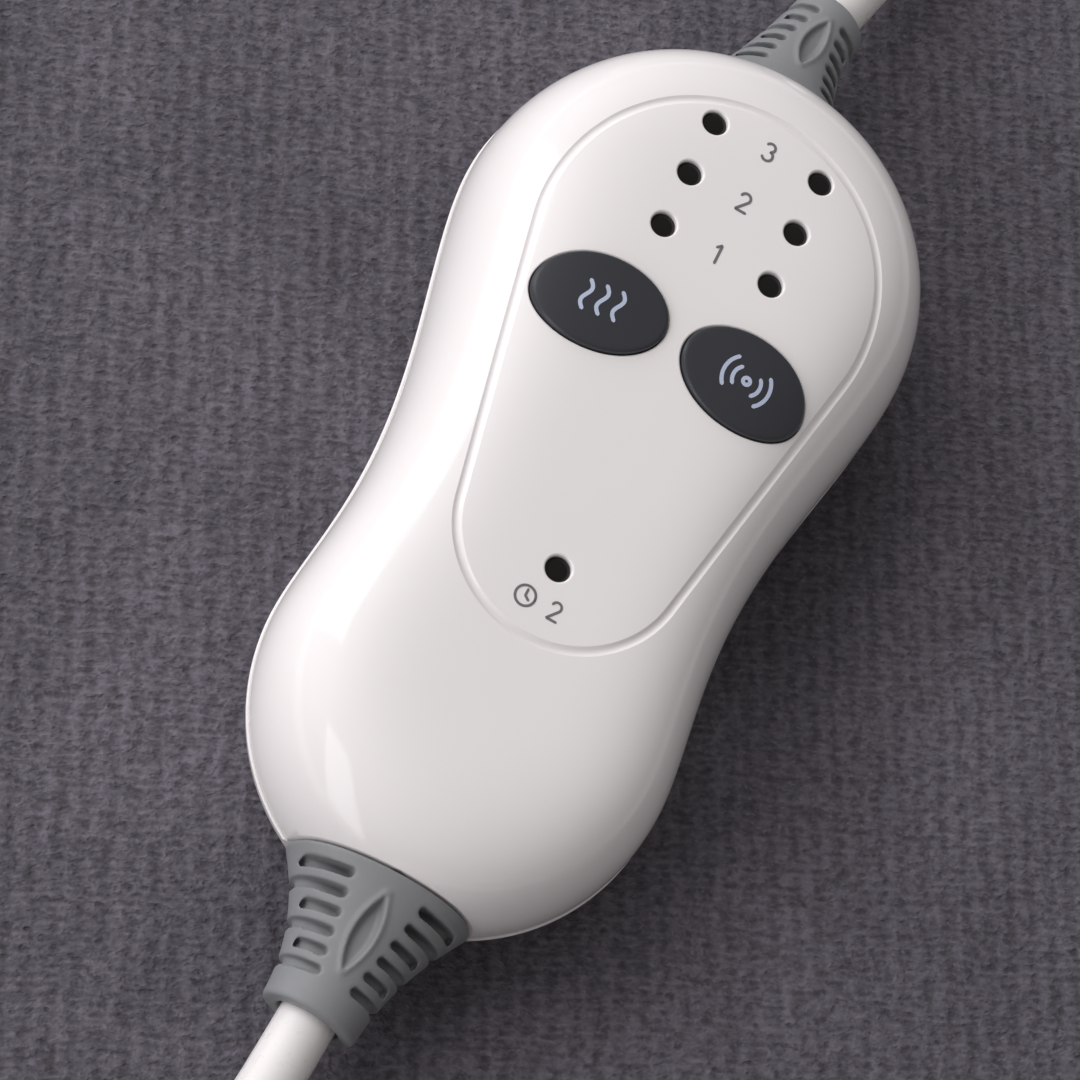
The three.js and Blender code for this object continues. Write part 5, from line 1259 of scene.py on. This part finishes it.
class HEATPAD_OT_reliefs(bpy.types.Operator):
    """Mould the two slotted strain reliefs"""

    bl_idname = "heatpad.reliefs"
    bl_label = "Strain reliefs"

    def execute(self, context):
        scene = context.scene
        housing = Housing(scene.housing_sizes)
        for name in ("mains", "pad"):
            relief = Relief(housing, scene.cord_sizes, name)
            body = ring_object(f"{name}_relief", self.body(housing, relief), crease=60)
            cut_away(body, self.slots(relief), 60)
            self.join(body, ring_object("web", self.web(housing, relief)))
            self.soften(body)
            dress(housing.place(body), "relief_rubber", "base", f"{name}_strain_relief")
        return {"FINISHED"}

    def outline(self, housing, relief, angle):
        """The sections of a strain relief at a share of its length: they go from the housing's own end
        shape to a circle as 1 - (1 - share) squared, and can be drawn in by an even amount."""
        root_x = relief.root * np.cos(angle)
        end = np.full(angle.shape, relief.end)
        above, below = housing.top(root_x, end), housing.foot(root_x, end)
        root_z = np.where(np.sin(angle) >= 0, above, below) - RELIEF_AXIS

        def section(share, keep=None, shrink=0.0, flat=1.0, almond=False):
            keep = (1 - share) ** 2 if keep is None else keep
            centre, _, across = relief.at(share)
            x = root_x * keep + relief.collar * np.cos(angle) * (1 - keep)
            z = root_z * keep + relief.collar * np.sin(angle) * (1 - keep)
            size = 1 - shrink / np.hypot(x, z)
            x, z = x * size, z * size * flat
            if almond:
                z = z + np.where(z > 0, self.almond(relief, share, x), 0)
            return np.column_stack([centre[:2] + across[None, :2] * x[:, None], RELIEF_AXIS + z])

        return section

    def almond(self, relief, share, x):
        """Height added by the almond-shaped dish on top: a rounded roll over its outline, and inside it a
        floor that is deep at the housing's end and shallow at the collar's. The outline is two arcs,
        1.15 mm * (1 - along squared), and the roll falls off as a bell with the distance from it."""
        half = DISH_HALF_LENGTH
        along = (share * relief.length - relief.lens_start - half) / half
        wide = DISH_HALF_WIDTH * max(1 - along ** 2, 0)
        off = np.abs(x) - wide if abs(along) < 1 else np.hypot(x, (abs(along) - 1) * half)
        inside = np.clip((0.1 - off) / 0.45, 0, 1)
        inside = inside * inside * (3 - 2 * inside)
        roll = 0.26 * np.exp(-((off - 0.28) / 0.3) ** 2)
        floor = -1.15 + 0.8 * (along + 1) / 2
        return roll * (1 - inside) + floor * inside

    def body(self, housing, relief):
        """The neck and flange inside the housing, the tapering sections with the almond dish, then a
        rounded collar with a mouth for the cord."""
        angles = full_turn(384)
        section = self.outline(housing, relief, angles)
        inner = relief.end - relief.side * (housing.wall + RELIEF_GAP)
        tubes = ((relief.flange, inner - relief.side * 2.2), (relief.flange, inner), (relief.neck, inner),
                 (relief.neck, relief.end + relief.side * RELIEF_GAP))
        rows = [np.stack([radius * np.cos(angles), y + 0 * angles, RELIEF_AXIS + radius * np.sin(angles)], -1)
                for radius, y in tubes]
        rows += [section(0.0, shrink=0.3), section(0.008, shrink=0.1)]
        rows += [section(share, almond=True) for share in np.linspace(0.02, 0.96, 130)]
        for turn in np.radians([20, 45, 70, 90]):
            rows.append(section(0.968 + 0.032 * math.sin(turn), 0.0, shrink=0.5 * (1 - math.cos(turn))))
        mouth = ((1.0, 3.7), (0.88, 3.6))
        rows += [section(share, 0.0, shrink=relief.collar - radius) for share, radius in mouth]
        return np.array(rows)

    def web(self, housing, relief):
        """The floor of the slots: the same sections, flatter and drawn in at the sides, and the wall
        round the cord."""
        section = self.outline(housing, relief, full_turn(96))
        rows = [section(share, shrink=0.6, flat=0.62 + 0.24 * share) for share in np.linspace(0.05, 0.93, 40)]
        return np.array(rows)

    def slots(self, relief):
        """Six slots on each side: upright prisms with a round inner end. Every other one stops short of
        the outside, so a thin rim is left there."""
        made = []
        turn = np.radians(np.linspace(90, 270, 13))
        half = SLOT_WIDTH / 2
        for index in range(6):
            share = (relief.slot_first + SLOT_PITCH * index) / relief.length
            centre, heading, across = relief.at(share)
            web = 4.3 * (1 - 0.76 * share)
            outer = relief.root * (1 - share) ** 2 + relief.collar * (1 - (1 - share) ** 2)
            reach = outer - SLOT_RIM if index % 2 == 0 else 25
            for side in (-1, 1):
                out = np.concatenate([[reach], web + half + half * np.cos(turn), [reach]])
                along = np.concatenate([[half], half * np.sin(turn), [-half]])
                flat = centre[:2] + side * out[:, None] * across[:2] + along[:, None] * heading[:2]
                made.append(ring_object("slot", [raised(flat, z) for z in (-30.0, 50.0)]))
        return made

    def join(self, body, other):
        bpy.ops.object.select_all(action="DESELECT")
        for piece in (body, other):
            piece.select_set(True)
        bpy.context.view_layer.objects.active = body
        bpy.ops.object.join()

    def soften(self, body):
        """One skin over everything, with its edges rounded as soft PVC leaves its mould."""
        skin = body.modifiers.new("skin", "REMESH")
        skin.mode = "VOXEL"
        skin.voxel_size = SKIN_VOXEL
        ease = body.modifiers.new("ease", "SMOOTH")
        ease.factor, ease.iterations = 0.5, 5
        bake(body, 180)


class HEATPAD_OT_inner_parts(bpy.types.Operator):
    """Give every part that stays as modelled the finish of its own slot"""

    bl_idname = "heatpad.inner_parts"
    bl_label = "Inner parts"

    def execute(self, context):
        for part in frame["record"]["subparts"]:
            node = frame["nodes"][part["node"]]
            node.data.materials.clear()
            node.data.materials.append(FINISHES[part["material_slot"]])
        return {"FINISHED"}


class HEATPAD_PT_panel(bpy.types.Panel):
    """Everything that can be made, in order"""

    bl_label = "Heating Pad"
    bl_idname = "HEATPAD_PT_panel"
    bl_space_type = "VIEW_3D"
    bl_region_type = "UI"
    bl_category = "Heating Pad"

    def draw(self, context):
        for operator in OPERATORS:
            self.layout.operator(operator.bl_idname)


GROUPS = {
    "pad_sizes": PadSizes,
    "housing_sizes": HousingSizes,
    "control_sizes": ControlSizes,
    "cord_sizes": CordSizes,
    "finish_colours": FinishColours,
}
OPERATORS = [
    HEATPAD_OT_stage, HEATPAD_OT_mains_cord, HEATPAD_OT_pad_cord, HEATPAD_OT_pad, HEATPAD_OT_housing,
    HEATPAD_OT_buttons, HEATPAD_OT_lamps, HEATPAD_OT_marks, HEATPAD_OT_reliefs, HEATPAD_OT_inner_parts,
]


def register():
    for made in (*GROUPS.values(), *OPERATORS, HEATPAD_PT_panel):
        bpy.utils.register_class(made)
    for name, group in GROUPS.items():
        setattr(bpy.types.Scene, name, PointerProperty(type=group))


def unregister():
    for name in GROUPS:
        delattr(bpy.types.Scene, name)
    for made in (HEATPAD_PT_panel, *reversed(OPERATORS), *reversed(list(GROUPS.values()))):
        bpy.utils.unregister_class(made)


def main():
    register()
    for operator in OPERATORS:
        name = operator.bl_idname.split(".")[1]
        if getattr(bpy.ops.heatpad, name)() != {"FINISHED"}:
            raise RuntimeError(f"{operator.bl_label} wasn't made")


if __name__ == "__main__":
    main()
